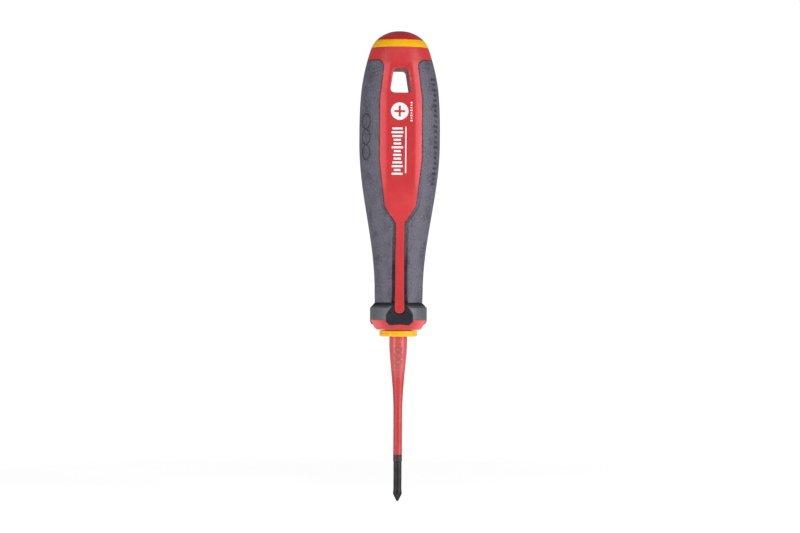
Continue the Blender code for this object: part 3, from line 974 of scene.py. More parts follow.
RED_PLASTIC = Finish(
    "red_plastic", (0.60, 0.034, 0.040), (0.54, 0.026, 0.032), 0.42, coat=0.08, coat_roughness=0.30,
    specular=0.38, grain_scale=3200.0, grain_height=0.006 * MM,
    dark=(0.28, 0.004, 0.008), pale=(0.86, 0.12, 0.14),
    wear_colour=(0.80, 0.22, 0.24), wear_amount=0.35, has_painted_light=True)
SLEEVE_RED = Finish(
    "sleeve_red", (0.58, 0.034, 0.040), (0.46, 0.024, 0.030), 0.33, coat=0.12, coat_roughness=0.25,
    grain_scale=3600.0, grain_height=0.005 * MM, flow_scale=2600.0, flow_height=0.004 * MM,
    wear_colour=(0.80, 0.25, 0.27), wear_amount=0.2)
GRIP_RUBBER = Finish(
    "grip_rubber", (0.060, 0.056, 0.078), (0.116, 0.110, 0.150), 0.52, rough_swing=0.12,
    grain_scale=5200.0, grain_height=0.010 * MM, speckle_scale=1150.0, speckle_height=0.10 * MM,
    dark=(0.020, 0.018, 0.020), pale=(0.25, 0.24, 0.29),
    wear_colour=(0.20, 0.19, 0.24), wear_amount=0.35, dust_colour=(0.28, 0.27, 0.30), dust_amount=0.08,
    has_painted_light=True, dull_painted_shade=True)
# Darker than the grip: painted shade standing for the shade in the moulded lines.
PAINTED_SHADE_RUBBER = Finish(
    "painted_shade_relief", (0.030, 0.028, 0.038), (0.042, 0.040, 0.052), 0.55,
    grain_scale=5200.0, grain_height=0.008 * MM)
COLLAR_RUBBER = Finish(
    "collar_rubber", (0.085, 0.088, 0.102), (0.105, 0.108, 0.125), 0.46,
    grain_scale=5200.0, grain_height=0.006 * MM, dark=(0.014, 0.013, 0.016), pale=(0.20, 0.21, 0.24),
    wear_colour=(0.20, 0.20, 0.24), wear_amount=0.35, has_painted_light=True, dull_painted_shade=True)
YELLOW_PLASTIC = Finish(
    "yellow_plastic", (0.94, 0.51, 0.004), (0.88, 0.45, 0.003), 0.38, specular=0.25,
    grain_scale=3600.0, grain_height=0.005 * MM, wear_colour=(1.0, 0.75, 0.30), wear_amount=0.2)
CRIMSON_GLOSS = Finish(
    "crimson_gloss", (0.60, 0.012, 0.028), (0.52, 0.009, 0.022), 0.24, rough_swing=0.05, coat=0.45,
    coat_roughness=0.08, grain_scale=2800.0, grain_height=0.003 * MM)
DARK_STEEL = Finish(
    "dark_steel", (0.045, 0.042, 0.047), (0.028, 0.026, 0.030), 0.36, metallic=0.80, rough_swing=0.10,
    grain_scale=5200.0, grain_height=0.003 * MM, flow_scale=4200.0, flow_height=0.004 * MM,
    wear_colour=(0.16, 0.155, 0.16), wear_amount=0.4)
WHITE_PRINT = Finish(
    "white_print", (0.84, 0.84, 0.84), (0.78, 0.78, 0.78), 0.45,
    grain_scale=3600.0, grain_height=0.003 * MM, dust_amount=0.05)
RED_PRINT = Finish(
    "red_print", (0.50, 0.018, 0.032), (0.45, 0.016, 0.028), 0.45,
    grain_scale=3600.0, grain_height=0.003 * MM)
# A dull greyish colour for the sleeve's raised marks: painted highlight standing for the light on the moulded
# relief.
PAINTED_HIGHLIGHT_RELIEF = Finish(
    "sleeve_relief_painted_highlight", (0.36, 0.13, 0.10), (0.28, 0.09, 0.07), 0.45,
    grain_scale=3600.0, grain_height=0.003 * MM)
STUDIO_WHITE = Finish(
    "studio_white", (0.90, 0.90, 0.90), (0.88, 0.88, 0.88), 0.8,
    grain_scale=60.0, grain_height=0.02 * MM, dust_amount=0.0)


# --- Marks made with geometry nodes ----------------------------------------------

class MarkShape(Enum):
    """What one mark of a column looks like."""

    BAR = 0
    RING = 1


@dataclass(frozen=True)
class MarkColumn:
    """A column of plain raised marks, made flat and then laid on a surface."""

    name: str
    count: int
    pitch: float
    width: float
    height: float
    depth: float
    shape: MarkShape = MarkShape.BAR
    line: float = 0.2 * MM
    least: float = 0.6
    seed: int = 3

    def build(self, finish: Finish) -> bpy.types.Object:
        """Return the column standing on z = 0 in the plane y = 0, as a plain mesh.

        Args:
            finish: The finish that the marks are given.

        Returns:
            The marks as one object.
        """
        carrier = bpy.data.objects.new(self.name, bpy.data.meshes.new(self.name))
        bpy.context.collection.objects.link(carrier)
        modifier = carrier.modifiers.new("marks", "NODES")
        modifier.node_group = self._group()
        values = {
            "Count": self.count, "Pitch": self.pitch, "Width": self.width, "Height": self.height,
            "Depth": self.depth, "Line": self.line, "Least": self.least, "Seed": self.seed,
            "Ring": self.shape is MarkShape.RING, "Finish": finish.material(),
        }
        for item in modifier.node_group.interface.items_tree:
            if item.item_type == "SOCKET" and item.in_out == "INPUT" and item.name in values:
                modifier[item.identifier] = values[item.name]
        return settled(carrier, 40.0)

    @staticmethod
    def _group() -> bpy.types.NodeTree:
        """Return the node group that makes a column of marks.

        Returns:
            The node group, built the first time it is used.
        """
        found = bpy.data.node_groups.get("mark_column")
        if found:
            return found
        tree = bpy.data.node_groups.new("mark_column", "GeometryNodeTree")
        kinds = {
            "Count": "Int", "Pitch": "Float", "Width": "Float", "Height": "Float", "Depth": "Float",
            "Line": "Float", "Least": "Float", "Seed": "Int", "Ring": "Bool", "Finish": "Material",
        }
        for name, kind in kinds.items():
            tree.interface.new_socket(name=name, in_out="INPUT", socket_type=f"NodeSocket{kind}")
        tree.interface.new_socket(name="Geometry", in_out="OUTPUT", socket_type="NodeSocketGeometry")
        sheet = NodeSheet(tree)
        given = sheet.add("NodeGroupInput").outputs
        step = sheet.feed(sheet.add("ShaderNodeCombineXYZ"), Z=given["Pitch"])
        line = sheet.feed(sheet.add("GeometryNodeMeshLine"), Count=given["Count"], Offset=step.outputs[0])
        size = sheet.add("ShaderNodeCombineXYZ")
        sheet.feed(size, X=given["Width"], Y=given["Depth"], Z=given["Height"])
        block = sheet.feed(
            sheet.add("GeometryNodeMeshCube"), Size=size.outputs[0], Vertices_X=5, Vertices_Y=2, Vertices_Z=5)
        circle = sheet.feed(sheet.add("GeometryNodeCurvePrimitiveCircle"), Resolution=40, Radius=0.5)
        oval = sheet.feed(sheet.add("ShaderNodeCombineXYZ"), X=given["Width"], Y=given["Height"], Z=1.0)
        stretched = sheet.add("GeometryNodeTransform")
        sheet.feed(stretched, Geometry=circle.outputs["Curve"], Scale=oval.outputs[0])
        upright = sheet.add("GeometryNodeTransform")
        sheet.feed(upright, Geometry=stretched.outputs[0], Rotation=(math.radians(90.0), 0.0, 0.0))
        section = sheet.add("GeometryNodeCurvePrimitiveCircle")
        sheet.feed(section, Resolution=10, Radius=given["Line"])
        ring = sheet.add("GeometryNodeCurveToMesh")
        sheet.feed(ring, Curve=upright.outputs[0], Profile_Curve=section.outputs["Curve"])
        choice = sheet.add("GeometryNodeSwitch", input_type="GEOMETRY")
        sheet.put(given["Ring"], choice.inputs["Switch"])
        sheet.put(block.outputs["Mesh"], choice.inputs["False"])
        sheet.put(ring.outputs[0], choice.inputs["True"])
        random = sheet.add("FunctionNodeRandomValue", data_type="FLOAT")
        sheet.put(given["Least"], random.inputs[2])
        sheet.put(1.0, random.inputs[3])
        sheet.put(given["Seed"], random.inputs["Seed"])
        swing = sheet.feed(sheet.add("ShaderNodeCombineXYZ"), X=random.outputs[1], Y=1.0, Z=1.0)
        copies = sheet.add("GeometryNodeInstanceOnPoints")
        sheet.feed(copies, Points=line.outputs[0], Instance=choice.outputs[0], Scale=swing.outputs[0])
        real = sheet.feed(sheet.add("GeometryNodeRealizeInstances"), Geometry=copies.outputs[0])
        dressed = sheet.add("GeometryNodeSetMaterial")
        sheet.feed(dressed, Geometry=real.outputs[0], Material=given["Finish"])
        sheet.feed(sheet.add("NodeGroupOutput"), Geometry=dressed.outputs[0])
        return tree


def wrap(thing: bpy.types.Object, place: Callable[..., np.ndarray]) -> bpy.types.Object:
    """Move every point of a flat mesh by a function of its across, out and height arrays.

    Args:
        thing: The flat object.
        place: Gives the laid points.

    Returns:
        The same object.
    """
    count = len(thing.data.vertices)
    flat = np.empty(count * 3)
    thing.data.vertices.foreach_get("co", flat)
    flat = flat.reshape(-1, 3)
    laid = place(flat[:, 0], -flat[:, 1], flat[:, 2])
    thing.data.vertices.foreach_set("co", laid.reshape(-1))
    thing.data.update()
    return thing


# --- Sub-assemblies ------------------------------------------------------------------

@dataclass
class SubAssembly:
    """A group of pieces that is built and dressed together."""

    form: HandleForm
    pieces: list[tuple[bpy.types.Object, Finish, str, Optional[str]]] = field(default_factory=list)

    def take(self, thing: bpy.types.Object, finish: Finish, slot: str, node: Optional[str] = None) -> None:
        """Note a piece with its finish, its slot and the frame node it stands for."""
        self.pieces.append((thing, finish, slot, node))

    def build(self) -> None:
        """Make the pieces' meshes."""
        raise NotImplementedError

    def dress(self) -> None:
        """Give each piece its finish and tie it to the frame."""
        for thing, finish, slot, node in self.pieces:
            thing.data.materials.clear()
            thing.data.materials.append(finish.material())
            thing.data.polygons.foreach_set("material_index", [0] * len(thing.data.polygons))
            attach(thing, "root")
            if node:
                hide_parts(node)
        LOG.info("%s: %d pieces", type(self).__name__, len(self.pieces))


@dataclass
class Blade(SubAssembly):
    """The steel blade with its fluted cross tip."""

    radius: float = 1.5 * MM
    band: float = 1.63 * MM
    band_height: float = 2.5 * MM
    tip_radius: float = 1.64 * MM
    end_radius: float = 0.35 * MM
    half_angle: float = math.radians(26.5)
    flare: float = 1.6 * MM
    flute_slope: float = math.radians(12.0)
    flute_root: float = 0.3 * MM
    flute_half_angle: float = math.radians(46.0)
    around: int = 192

    def build(self) -> None:
        """Turn the blade and sink its four flutes."""
        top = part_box("blade")[1].z
        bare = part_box("blade_sleeve")[0].z
        cone = (self.tip_radius - self.end_radius) / math.tan(self.half_angle)
        low_rows = np.linspace(0.0, cone + self.flare + 3.0 * MM, 70)
        high_rows = np.array([bare - self.band_height - 0.02 * MM, bare - self.band_height + 0.13 * MM, bare])
        hidden_rows = np.array([bare + 0.05 * MM, top - 0.3 * MM, top])
        heights = np.concatenate([low_rows, [9.0 * MM, 11.0 * MM], high_rows, hidden_rows])
        points = [
            (0.0, self.end_radius), (cone, self.tip_radius), (cone + 0.25 * MM, self.tip_radius),
            (cone + self.flare, self.radius), (bare - self.band_height, self.radius),
            (bare - self.band_height + 0.13 * MM, self.band), (bare, self.band),
            (bare + 0.04 * MM, 0.95 * MM), (top - 0.3 * MM, 0.95 * MM), (top, 0.7 * MM),
        ]
        radius = np.interp(heights, [h for h, _ in points], [r for _, r in points])
        facings = np.linspace(0.0, 2.0 * math.pi, self.around, endpoint=False)
        from_flute = np.abs((facings + math.pi / 2.0) % (math.pi / 2.0) - math.pi / 4.0)
        root = self.flute_root + heights[:, None] * math.tan(self.flute_slope)
        opening = np.maximum(self.flute_half_angle - from_flute[None, :], 1e-3)
        wall = root * math.sin(self.flute_half_angle) / np.sin(opening)
        cut = np.minimum(radius[:, None], wall)
        rings = polar(facings[None, :] + 0.0 * heights[:, None], cut, heights[:, None])
        band_low = bare - self.band_height
        # The blade's top band is tinted reddish purple.
        band_tint = HeightTint(band_low - 0.1 * MM, band_low + 0.5 * MM, (0.085, 0.040, 0.052), 0.75)
        steel = replace(DARK_STEEL, tints=(band_tint,))
        self.take(skin("blade_steel", rings, crease=24.0), steel, "blade", "blade")


@dataclass
class Sleeve(SubAssembly):
    """The tapered insulating sleeve with its raised marks."""

    slim: float = 1.62 * MM
    root: float = 3.28 * MM

    def radius(self, height: np.ndarray) -> np.ndarray:
        """Return the sleeve's outer radius.

        Args:
            height: Heights above the tip.

        Returns:
            The radii.
        """
        bottom = self.form.bottom
        swell = self.root - self.slim
        points = [
            (bottom - 26.0 * MM, self.slim), (bottom - 20.0 * MM, self.slim + 0.15 * swell),
            (bottom - 14.0 * MM, self.slim + 0.46 * swell), (bottom - 8.0 * MM, self.slim + 0.80 * swell),
            (bottom - 4.5 * MM, self.slim + 0.97 * swell), (bottom, self.root),
        ]
        return soft_line(height, points, 2.5 * MM)

    def build(self) -> None:
        """Turn the sleeve and lay its column of marks on the front."""
        low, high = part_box("blade_sleeve")
        edge = 0.12 * MM
        heights = np.concatenate([[low.z + edge], np.arange(low.z + 1.0 * MM, high.z, 0.5 * MM), [high.z]])
        outer = [(float(r), float(h)) for r, h in zip(self.radius(heights), heights)]
        inner = [(0.99 * MM, low.z), (self.slim - edge, low.z)]
        profile = inner + outer + [(1.8 * MM, high.z), (0.99 * MM, low.z + 1.0 * MM)]
        bottom = self.form.bottom
        # Painted highlight: the sleeve is lighter towards its wide upper end.
        sleeve_painted_highlight = HeightTint(bottom - 17.0 * MM, bottom - 10.0 * MM, (0.74, 0.15, 0.17), 0.42)
        red = replace(SLEEVE_RED, tints=(sleeve_painted_highlight,))
        self.take(turned("sleeve", profile, 96, loop=True), red, "sleeve", "blade_sleeve")
        rings = MarkColumn(
            "sleeve_rings", 3, 2.3 * MM, 2.9 * MM, 1.8 * MM, 0.1 * MM, MarkShape.RING, least=0.6, seed=5)
        upper = MarkColumn("sleeve_upper_bars", 2, 1.2 * MM, 2.6 * MM, 0.42 * MM, 0.1 * MM, least=0.4, seed=7)
        lower = MarkColumn("sleeve_lower_bars", 3, 1.5 * MM, 2.0 * MM, 0.5 * MM, 0.1 * MM, least=0.4, seed=11)
        for column, drop in ((rings, 9.4 * MM), (upper, 4.1 * MM), (lower, 14.4 * MM)):
            marks = column.build(PAINTED_HIGHLIGHT_RELIEF)
            wrap(marks, lambda across, out, up: self._laid(across, out, up + bottom - drop))
            self.take(marks, PAINTED_HIGHLIGHT_RELIEF, "sleeve")

    def _laid(self, across: np.ndarray, out: np.ndarray, height: np.ndarray) -> np.ndarray:
        """Lay a flat point on the sleeve's front."""
        radius = self.radius(height)
        return polar(across / radius, radius + out, height)


@dataclass
class Core(SubAssembly):
    """The yellow core, of which only the front ring shows."""

    ring: float = 6.87 * MM
    ring_height: float = 2.1 * MM

    def build(self) -> None:
        """Turn the ring with its fine middle groove, and the hidden core."""
        low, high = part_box("handle_core")
        base = low.z
        profile = [
            (3.34 * MM, base + 0.25 * MM), (3.50 * MM, base), (self.ring - 0.35 * MM, base),
            (self.ring - 0.12 * MM, base + 0.08 * MM), (self.ring, base + 0.30 * MM),
            (self.ring, base + 0.95 * MM), (self.ring - 0.10 * MM, base + 1.05 * MM),
            (self.ring, base + 1.15 * MM), (self.ring, base + self.ring_height - 0.15 * MM),
            (self.ring - 0.15 * MM, base + self.ring_height),
            (4.9 * MM, base + self.ring_height + 0.1 * MM), (4.9 * MM, high.z), (3.34 * MM, high.z),
        ]
        self.take(turned("core_ring", profile, 128, loop=True), YELLOW_PLASTIC, "core", "handle_core")


@dataclass
class HandleShell(SubAssembly):
    """The red body: flange, stripes, panels, neck and hanging hole."""

    pocket: float = 1.35 * MM
    seat: float = 7.0 * MM
    proud: float = 0.18 * MM
    field_columns: int = 13
    strip_columns: int = 6
    lobe_columns: int = 11

    def rows(self) -> np.ndarray:
        """Return the heights of the grid's rows.

        Returns:
            The heights in order.
        """
        form = self.form
        hole = HangingHole(form)
        outline = PanelOutline(form)
        end_steps = np.array([-0.03, 0.0, 0.03, 0.08, 0.16, 0.28, 0.42, 0.6, 0.8, 1.05, 1.3, 1.6]) * MM
        parts = [
            form.shell_bottom + np.array([0.0, 0.06, 0.18, 0.4, 0.8]) * MM,
            np.arange(form.shell_bottom + 1.1 * MM, form.flange_top - 0.3 * MM, 0.25 * MM),
            form.flange_top + np.array([-0.2, -0.1, -0.03, 0.0, 0.03]) * MM,
            outline.end_height + end_steps,
            np.arange(outline.end_height + 2.0 * MM, hole.bottom - 1.2 * MM, 0.5 * MM),
            np.arange(hole.bottom - 1.2 * MM, hole.top + 1.2 * MM, 0.2 * MM),
            np.arange(hole.top + 1.2 * MM, form.grip_top - 0.2 * MM, 0.15 * MM),
            form.grip_top + np.array([-0.12, -0.05, 0.0, 0.03]) * MM,
            form.back_top + np.array([-0.8, -0.4, -0.2, -0.1, 0.0, 0.03]) * MM,
            np.arange(form.grip_top + 0.3 * MM, form.neck - 0.15 * MM, 0.4 * MM),
            np.array([form.neck - 0.12 * MM, form.neck]),
        ]
        heights = np.unique(np.round(np.concatenate(parts), 8))
        keep = np.concatenate([[True], np.diff(heights) > 0.01 * MM])
        return heights[keep]

    def half_sector(self, heights: np.ndarray, top: float, side: float, middle: float) -> GridPair:
        """Return facings and radii from a panel's middle to a lobe's middle.

        Args:
            heights: The rows' heights.
            top: Where the neighbouring grip ends.
            side: 1 for increasing facings, -1 for decreasing.
            middle: The panel's facing.

        Returns:
            The facings about the axis, and the radii.
        """
        form = self.form
        outline = PanelOutline(form)
        hole = HangingHole(form)
        height = heights[:, None]
        edge = form.facing_at(outline.half_width(heights, top), heights)[:, None]
        mean = form.mean_radius(height)
        bevel = np.minimum(0.22 * MM / mean, 0.3 * edge)
        field_edge = form.facing_at(outline.field_width(heights), heights)[:, None]
        field_edge = np.minimum(field_edge, edge - 2.0 * bevel)
        inside = np.linspace(0.0, 1.0, self.field_columns)[None, :]
        strip = np.linspace(0.0, 1.0, self.strip_columns + 1)[None, 1:]
        beyond = np.linspace(0.0, 1.0, self.lobe_columns + 2)[None, 1:-1]
        drop_edge = edge + 0.06 * MM / mean
        facings = np.concatenate([
            field_edge * inside,
            field_edge + (edge - bevel - field_edge) * strip,
            edge,
            drop_edge,
            drop_edge + (math.radians(60.0) - drop_edge) * beyond,
        ], axis=1)
        round_form = form.surface(facings, height)
        flat = outline.field_distance(heights)[:, None] / np.cos(facings)
        fade = outline.field_fade(height)
        columns = np.arange(facings.shape[1])[None, :]
        panel_end = self.field_columns + self.strip_columns
        on_field = columns < self.field_columns
        radii = np.where(on_field, round_form * (1.0 - fade) + flat * fade, round_form)
        beside = (height > form.collar_top) & (height <= top)
        radii = np.where((columns == panel_end) & beside, radii - 0.14 * MM, radii)
        under = (columns > panel_end) & beside
        radii = np.where(under, round_form - self.pocket, radii)
        radii = self._front_end(radii, facings, height, columns <= panel_end)
        bearing = middle + side * facings
        across = radii * np.sin(bearing)
        near_y = np.abs(np.cos(bearing)) > 0.8
        dip = edge_drop(np.maximum(hole.distance(across, height), 0.0), hole.rim)
        radii = np.where(near_y, radii - dip, radii)
        return bearing, radii

    def _front_end(
        self, radii: np.ndarray, facings: np.ndarray, height: np.ndarray, on_stripe: np.ndarray,
    ) -> np.ndarray:
        """Shape the flange, the collar's seat and the stripe's end over the collar.

        Args:
            radii: The radii so far.
            facings: Facings from a panel's middle.
            height: Heights above the tip.
            on_stripe: Where the grid lies on a panel or its stripe.

        Returns:
            The shaped radii.
        """
        form = self.form
        outline = PanelOutline(form)
        flat = form.flat_distance + self.proud
        waist = form.waist_radius
        distance = np.interp(height, [
            outline.end_height, outline.end_height + 0.35 * MM, form.collar_top - 0.8 * MM,
            form.collar_top + 0.2 * MM, form.waist + 1.0 * MM,
        ], [flat - 0.35 * MM, flat, flat, waist + 0.12 * MM, waist * (1.0 - form.lobe)])
        tongue = distance / np.cos(facings)
        share = smooth(height, form.collar_top, form.waist + 1.5 * MM)
        stripe = tongue * (1.0 - share) + radii * share
        low_stripe = on_stripe & (height >= outline.end_height) & (height < form.waist + 1.5 * MM)
        radii = np.where(low_stripe, stripe, radii)
        hidden = (height > form.flange_top) & (height <= form.collar_top) & ~on_stripe
        hidden |= (height > form.flange_top) & (height < outline.end_height)
        radii = np.where(hidden, self.seat, radii)
        up = height - form.shell_bottom
        cone = form.flange_radius + (form.collar_radius - form.flange_radius) * up / form.flange_height
        cone = cone - edge_drop(up, 0.6 * MM) - 0.6 * edge_drop(form.flange_top - height, 0.25 * MM)
        behind_pad = (form.flat_distance - 0.12 * MM) / np.cos(facings)
        cone = np.where(height > form.pad_bottom + 0.05 * MM, np.minimum(cone, behind_pad), cone)
        return np.where(height <= form.flange_top, cone, radii)

    def build(self) -> None:
        """Join the six half sectors into one skin and cut the hanging hole."""
        form = self.form
        heights = self.rows()
        bearings, radii = [], []
        side, back = form.grip_top, form.back_top
        tops = ((side, side), (side, back), (back, side))
        for middle, (left_top, right_top) in zip(PANEL_FACINGS, tops):
            left_bearing, left_radius = self.half_sector(heights, left_top, -1.0, middle)
            right_bearing, right_radius = self.half_sector(heights, right_top, 1.0, middle)
            seam_bearing, seam_radius = self._seam(heights, right_top, middle)
            bearings += [left_bearing[:, :0:-1], right_bearing, seam_bearing]
            radii += [left_radius[:, :0:-1], right_radius, seam_radius]
        bearing = np.concatenate(bearings, axis=1)
        radius = np.concatenate(radii, axis=1)
        shell = skin("shell", polar(bearing, radius, heights[:, None]), crease=28.0)
        cutter = HangingHole(form).cutter()
        step = shell.modifiers.new("hole", "BOOLEAN")
        step.operation = "DIFFERENCE"
        step.solver = "EXACT"
        step.object = cutter
        settled(shell, 28.0)
        bpy.data.objects.remove(cutter)
        self._tone(shell)
        self.take(shell, RED_PLASTIC, "shell", "handle_shell")

    def _tone(self, shell: bpy.types.Object) -> None:
        """Paint shade on the flat fields and the lower stripe, and paint highlights on the strips beside the
        fields, the flange's sides and the hole's walls.

        Args:
            shell: The finished shell.
        """
        outline = PanelOutline(self.form)
        hole = HangingHole(self.form)
        points = np.empty(len(shell.data.vertices) * 3)
        shell.data.vertices.foreach_get("co", points)
        x, y, z = points.reshape(-1, 3).T
        bearing = np.arctan2(x, -y)
        local = (bearing + math.radians(60.0)) % math.radians(120.0) - math.radians(60.0)
        radius = np.hypot(x, y)
        across = np.abs(radius * np.sin(local))
        half_width = outline.field_width(z)
        fade = outline.field_fade(z)
        # Painted shade inside the flat field, and a painted highlight on the strip beside it.
        inside = 1.0 - smooth(across - half_width, -0.15 * MM, 0.05 * MM)
        strip = smooth(across - half_width, -0.1 * MM, 0.7 * MM)
        tone = fade * (0.36 * strip - 0.22 * inside)
        depth = self.form.surface(local, z) - radius
        # The hole's walls get a painted highlight.
        wall = (hole.distance(x, z) < 0.4 * MM) & (depth > 1.0 * MM)
        # Painted shade along the lower stripe, and a painted highlight on the flange's sides.
        stripe = 1.0 - smooth(z, self.form.bottom + 38.0 * MM, self.form.bottom + 44.0 * MM)
        stripe = stripe * smooth(z, self.form.flange_top, outline.end_height + 2.0 * MM)
        flange = 1.0 - smooth(z, self.form.flange_top - 0.4 * MM, self.form.flange_top)
        side = smooth(np.abs(np.degrees(local)), 32.0, 52.0)
        tone = tone - 0.16 * stripe + 0.45 * flange * side
        set_painted_light(shell, np.where(wall, 0.6, tone))

    def _seam(self, heights: np.ndarray, top: float, middle: float) -> GridPair:
        """Return facings and radii along the lobe's middle that follows a panel.

        Args:
            heights: The rows' heights.
            top: Where the lobe's grip ends.
            middle: The panel's facing.

        Returns:
            The facings about the axis, and the radii.
        """
        form = self.form
        hole = HangingHole(form)
        height = heights[:, None]
        local = np.full_like(height, math.radians(60.0))
        radius = form.surface(local, height)
        radius = np.where((height > form.collar_top) & (height <= top), radius - self.pocket, radius)
        radius = self._front_end(radius, local, height, np.zeros(height.shape, bool))
        bearing = middle + local
        across = radius * np.sin(bearing)
        dip = edge_drop(np.maximum(hole.distance(across, height), 0.0), hole.rim)
        return bearing, np.where(np.abs(np.cos(bearing)) > 0.8, radius - dip, radius)


@dataclass
class Grip(SubAssembly):
    """One soft grip lobe between two panels."""

    node: str = "grip_left"
    facing: float = math.radians(-60.0)
    top: float = 0.0
    edge: float = 0.45 * MM
    thickness: float = 1.3 * MM
    gap: float = 0.07 * MM
    groove: float = 1.25 * MM
    groove_width: float = 1.05 * MM

    def rows(self) -> np.ndarray:
        """Return the heights of the grid's rows.

        Returns:
            The heights in order.
        """
        low = self.form.collar_top + 0.05 * MM
        near = np.array([0.0, 0.02, 0.06, 0.12, 0.2, 0.3, 0.45, 0.7, 1.0, 1.3, 1.6, 2.0, 2.4, 2.8, 3.2]) * MM
        high = self.top - self.gap
        middle = np.arange(low + 1.2 * MM, high - 3.6 * MM, 0.5 * MM)
        return np.concatenate([low + near[:8], middle, (high - near)[::-1]])

    def build(self) -> None:
        """Make the lobe as a plate with rounded edges and grooves beside the stripes."""
        form = self.form
        outline = PanelOutline(form)
        heights = self.rows()
        height = heights[:, None]
        radius = form.mean_radius(height)
        width = outline.half_width(np.minimum(heights, self.top), self.top) + self.gap
        start = form.facing_at(width, heights)[:, None] - math.radians(60.0)
        near = np.array([
            0.0, 0.02, 0.06, 0.12, 0.2, 0.3, 0.45, 0.65, 0.85, 1.0, 1.12, 1.25, 1.4, 1.55, 1.7, 1.9,
        ]) * MM
        side = start + near[None, :] / radius
        inner = side[:, -1:] * (1.0 - np.linspace(0.0, 1.0, 15)[None, 1:])
        left = np.concatenate([side, inner], axis=1)
        facings = np.concatenate([left, -left[:, -2::-1]], axis=1)
        from_middle = math.radians(60.0) - np.abs(facings)
        base = form.surface(from_middle, height)
        across = base * np.sin(from_middle)
        straight = outline.straight(height, self.top) + self.gap
        along = (from_middle - (start + math.radians(60.0))) * base
        groove = self._groove(height, along)
        depth = edge_drop(self._inward(across, height, straight, along), self.edge) + groove
        depth = np.minimum(depth, self.thickness - 0.02 * MM + self.edge)
        bearing = self.facing + facings
        outer = polar(bearing, base - depth, height)
        back = polar(bearing, np.minimum(base - self.thickness, base - depth - 0.15 * MM), height)
        rubber = slab(self.node + "_rubber", outer, back, crease=40.0)
        # Painted shade in the grooves beside the stripes.
        self.take(set_painted_light(rubber, -0.42 * groove / self.groove), GRIP_RUBBER, "grip", self.node)

    def _inward(
        self, across: np.ndarray, height: np.ndarray, straight: np.ndarray, along: np.ndarray,
    ) -> np.ndarray:
        """Return each point's distance inside the lobe's outline.

        Args:
            across: Distances from the panel's middle.
            height: Heights above the tip.
            straight: The panel's half width without its corner.
            along: Distances from the lobe's side edge.

        Returns:
            The distances.
        """
        corner = PanelOutline(self.form).corner
        top = self.top - self.gap
        low = self.form.collar_top + 0.05 * MM
        centre = straight + corner
        over = np.hypot(across - centre, height - (top - corner))
        in_corner = (across < centre) & (height > top - corner)
        plain = np.minimum(along, top - height)
        found = np.where(in_corner, corner - over, plain)
        return np.clip(np.minimum(found, 1.5 * (height - low)), 0.0, None)

    def _groove(self, height: np.ndarray, along: np.ndarray) -> np.ndarray:
        """Return the depth of the groove beside a stripe.

        Args:
            height: Heights above the tip.
            along: Distances from the lobe's side edge.

        Returns:
            The depths.
        """
        base = self.form.bottom
        steps = np.array([12.0, 26.0, 31.0, 40.0, 47.0, 58.0]) * MM
        depth = np.interp(height, base + steps, self.groove * np.array([1.0, 0.95, 0.65, 0.50, 0.32, 0.0]))
        return depth * (1.0 - smooth(along, self.groove_width - 0.15 * MM, self.groove_width + 0.55 * MM))


@dataclass
class GripRelief(SubAssembly):
    """The plain raised rings and bars on the two front grips, coloured darker as painted shade."""

    rings_height: float = 126.9 * MM
    rings_facing: float = math.radians(-55.5)
    bars_height: float = 115.5 * MM
    bars_facing: float = math.radians(57.0)

    def build(self) -> None:
        """Lay the rings on the left grip and the bars on the right one."""
        rings = MarkColumn(
            "left_grip_rings", 3, 5.6 * MM, 4.4 * MM, 5.4 * MM, 0.1 * MM, MarkShape.RING, 0.24 * MM, 0.92, 2)
        left = rings.build(PAINTED_SHADE_RUBBER)
        wrap(left, lambda across, out, up: self._laid(
            across, out, up + self.rings_height, self.rings_facing))
        bars = MarkColumn("right_grip_bars", 21, 1.9 * MM, 2.6 * MM, 0.85 * MM, 0.3 * MM, least=0.4, seed=9)
        right = bars.build(PAINTED_SHADE_RUBBER)
        wrap(right, lambda across, out, up: self._laid(
            across, out, up + self.bars_height, self.bars_facing))
        self.take(left, PAINTED_SHADE_RUBBER, "grip")
        self.take(right, PAINTED_SHADE_RUBBER, "grip")

    def _laid(self, across: np.ndarray, out: np.ndarray, height: np.ndarray, facing: float) -> np.ndarray:
        """Lay a flat point on the grips' surface.

        Args:
            across: Distances across the column.
            out: Distances out of the surface.
            height: Heights above the tip.
            facing: The column's facing.

        Returns:
            The laid points.
        """
        mean = self.form.mean_radius(height)
        bearing = facing + across / mean
        return polar(bearing, self.form.surface(bearing, height) + out - 0.02 * MM, height)


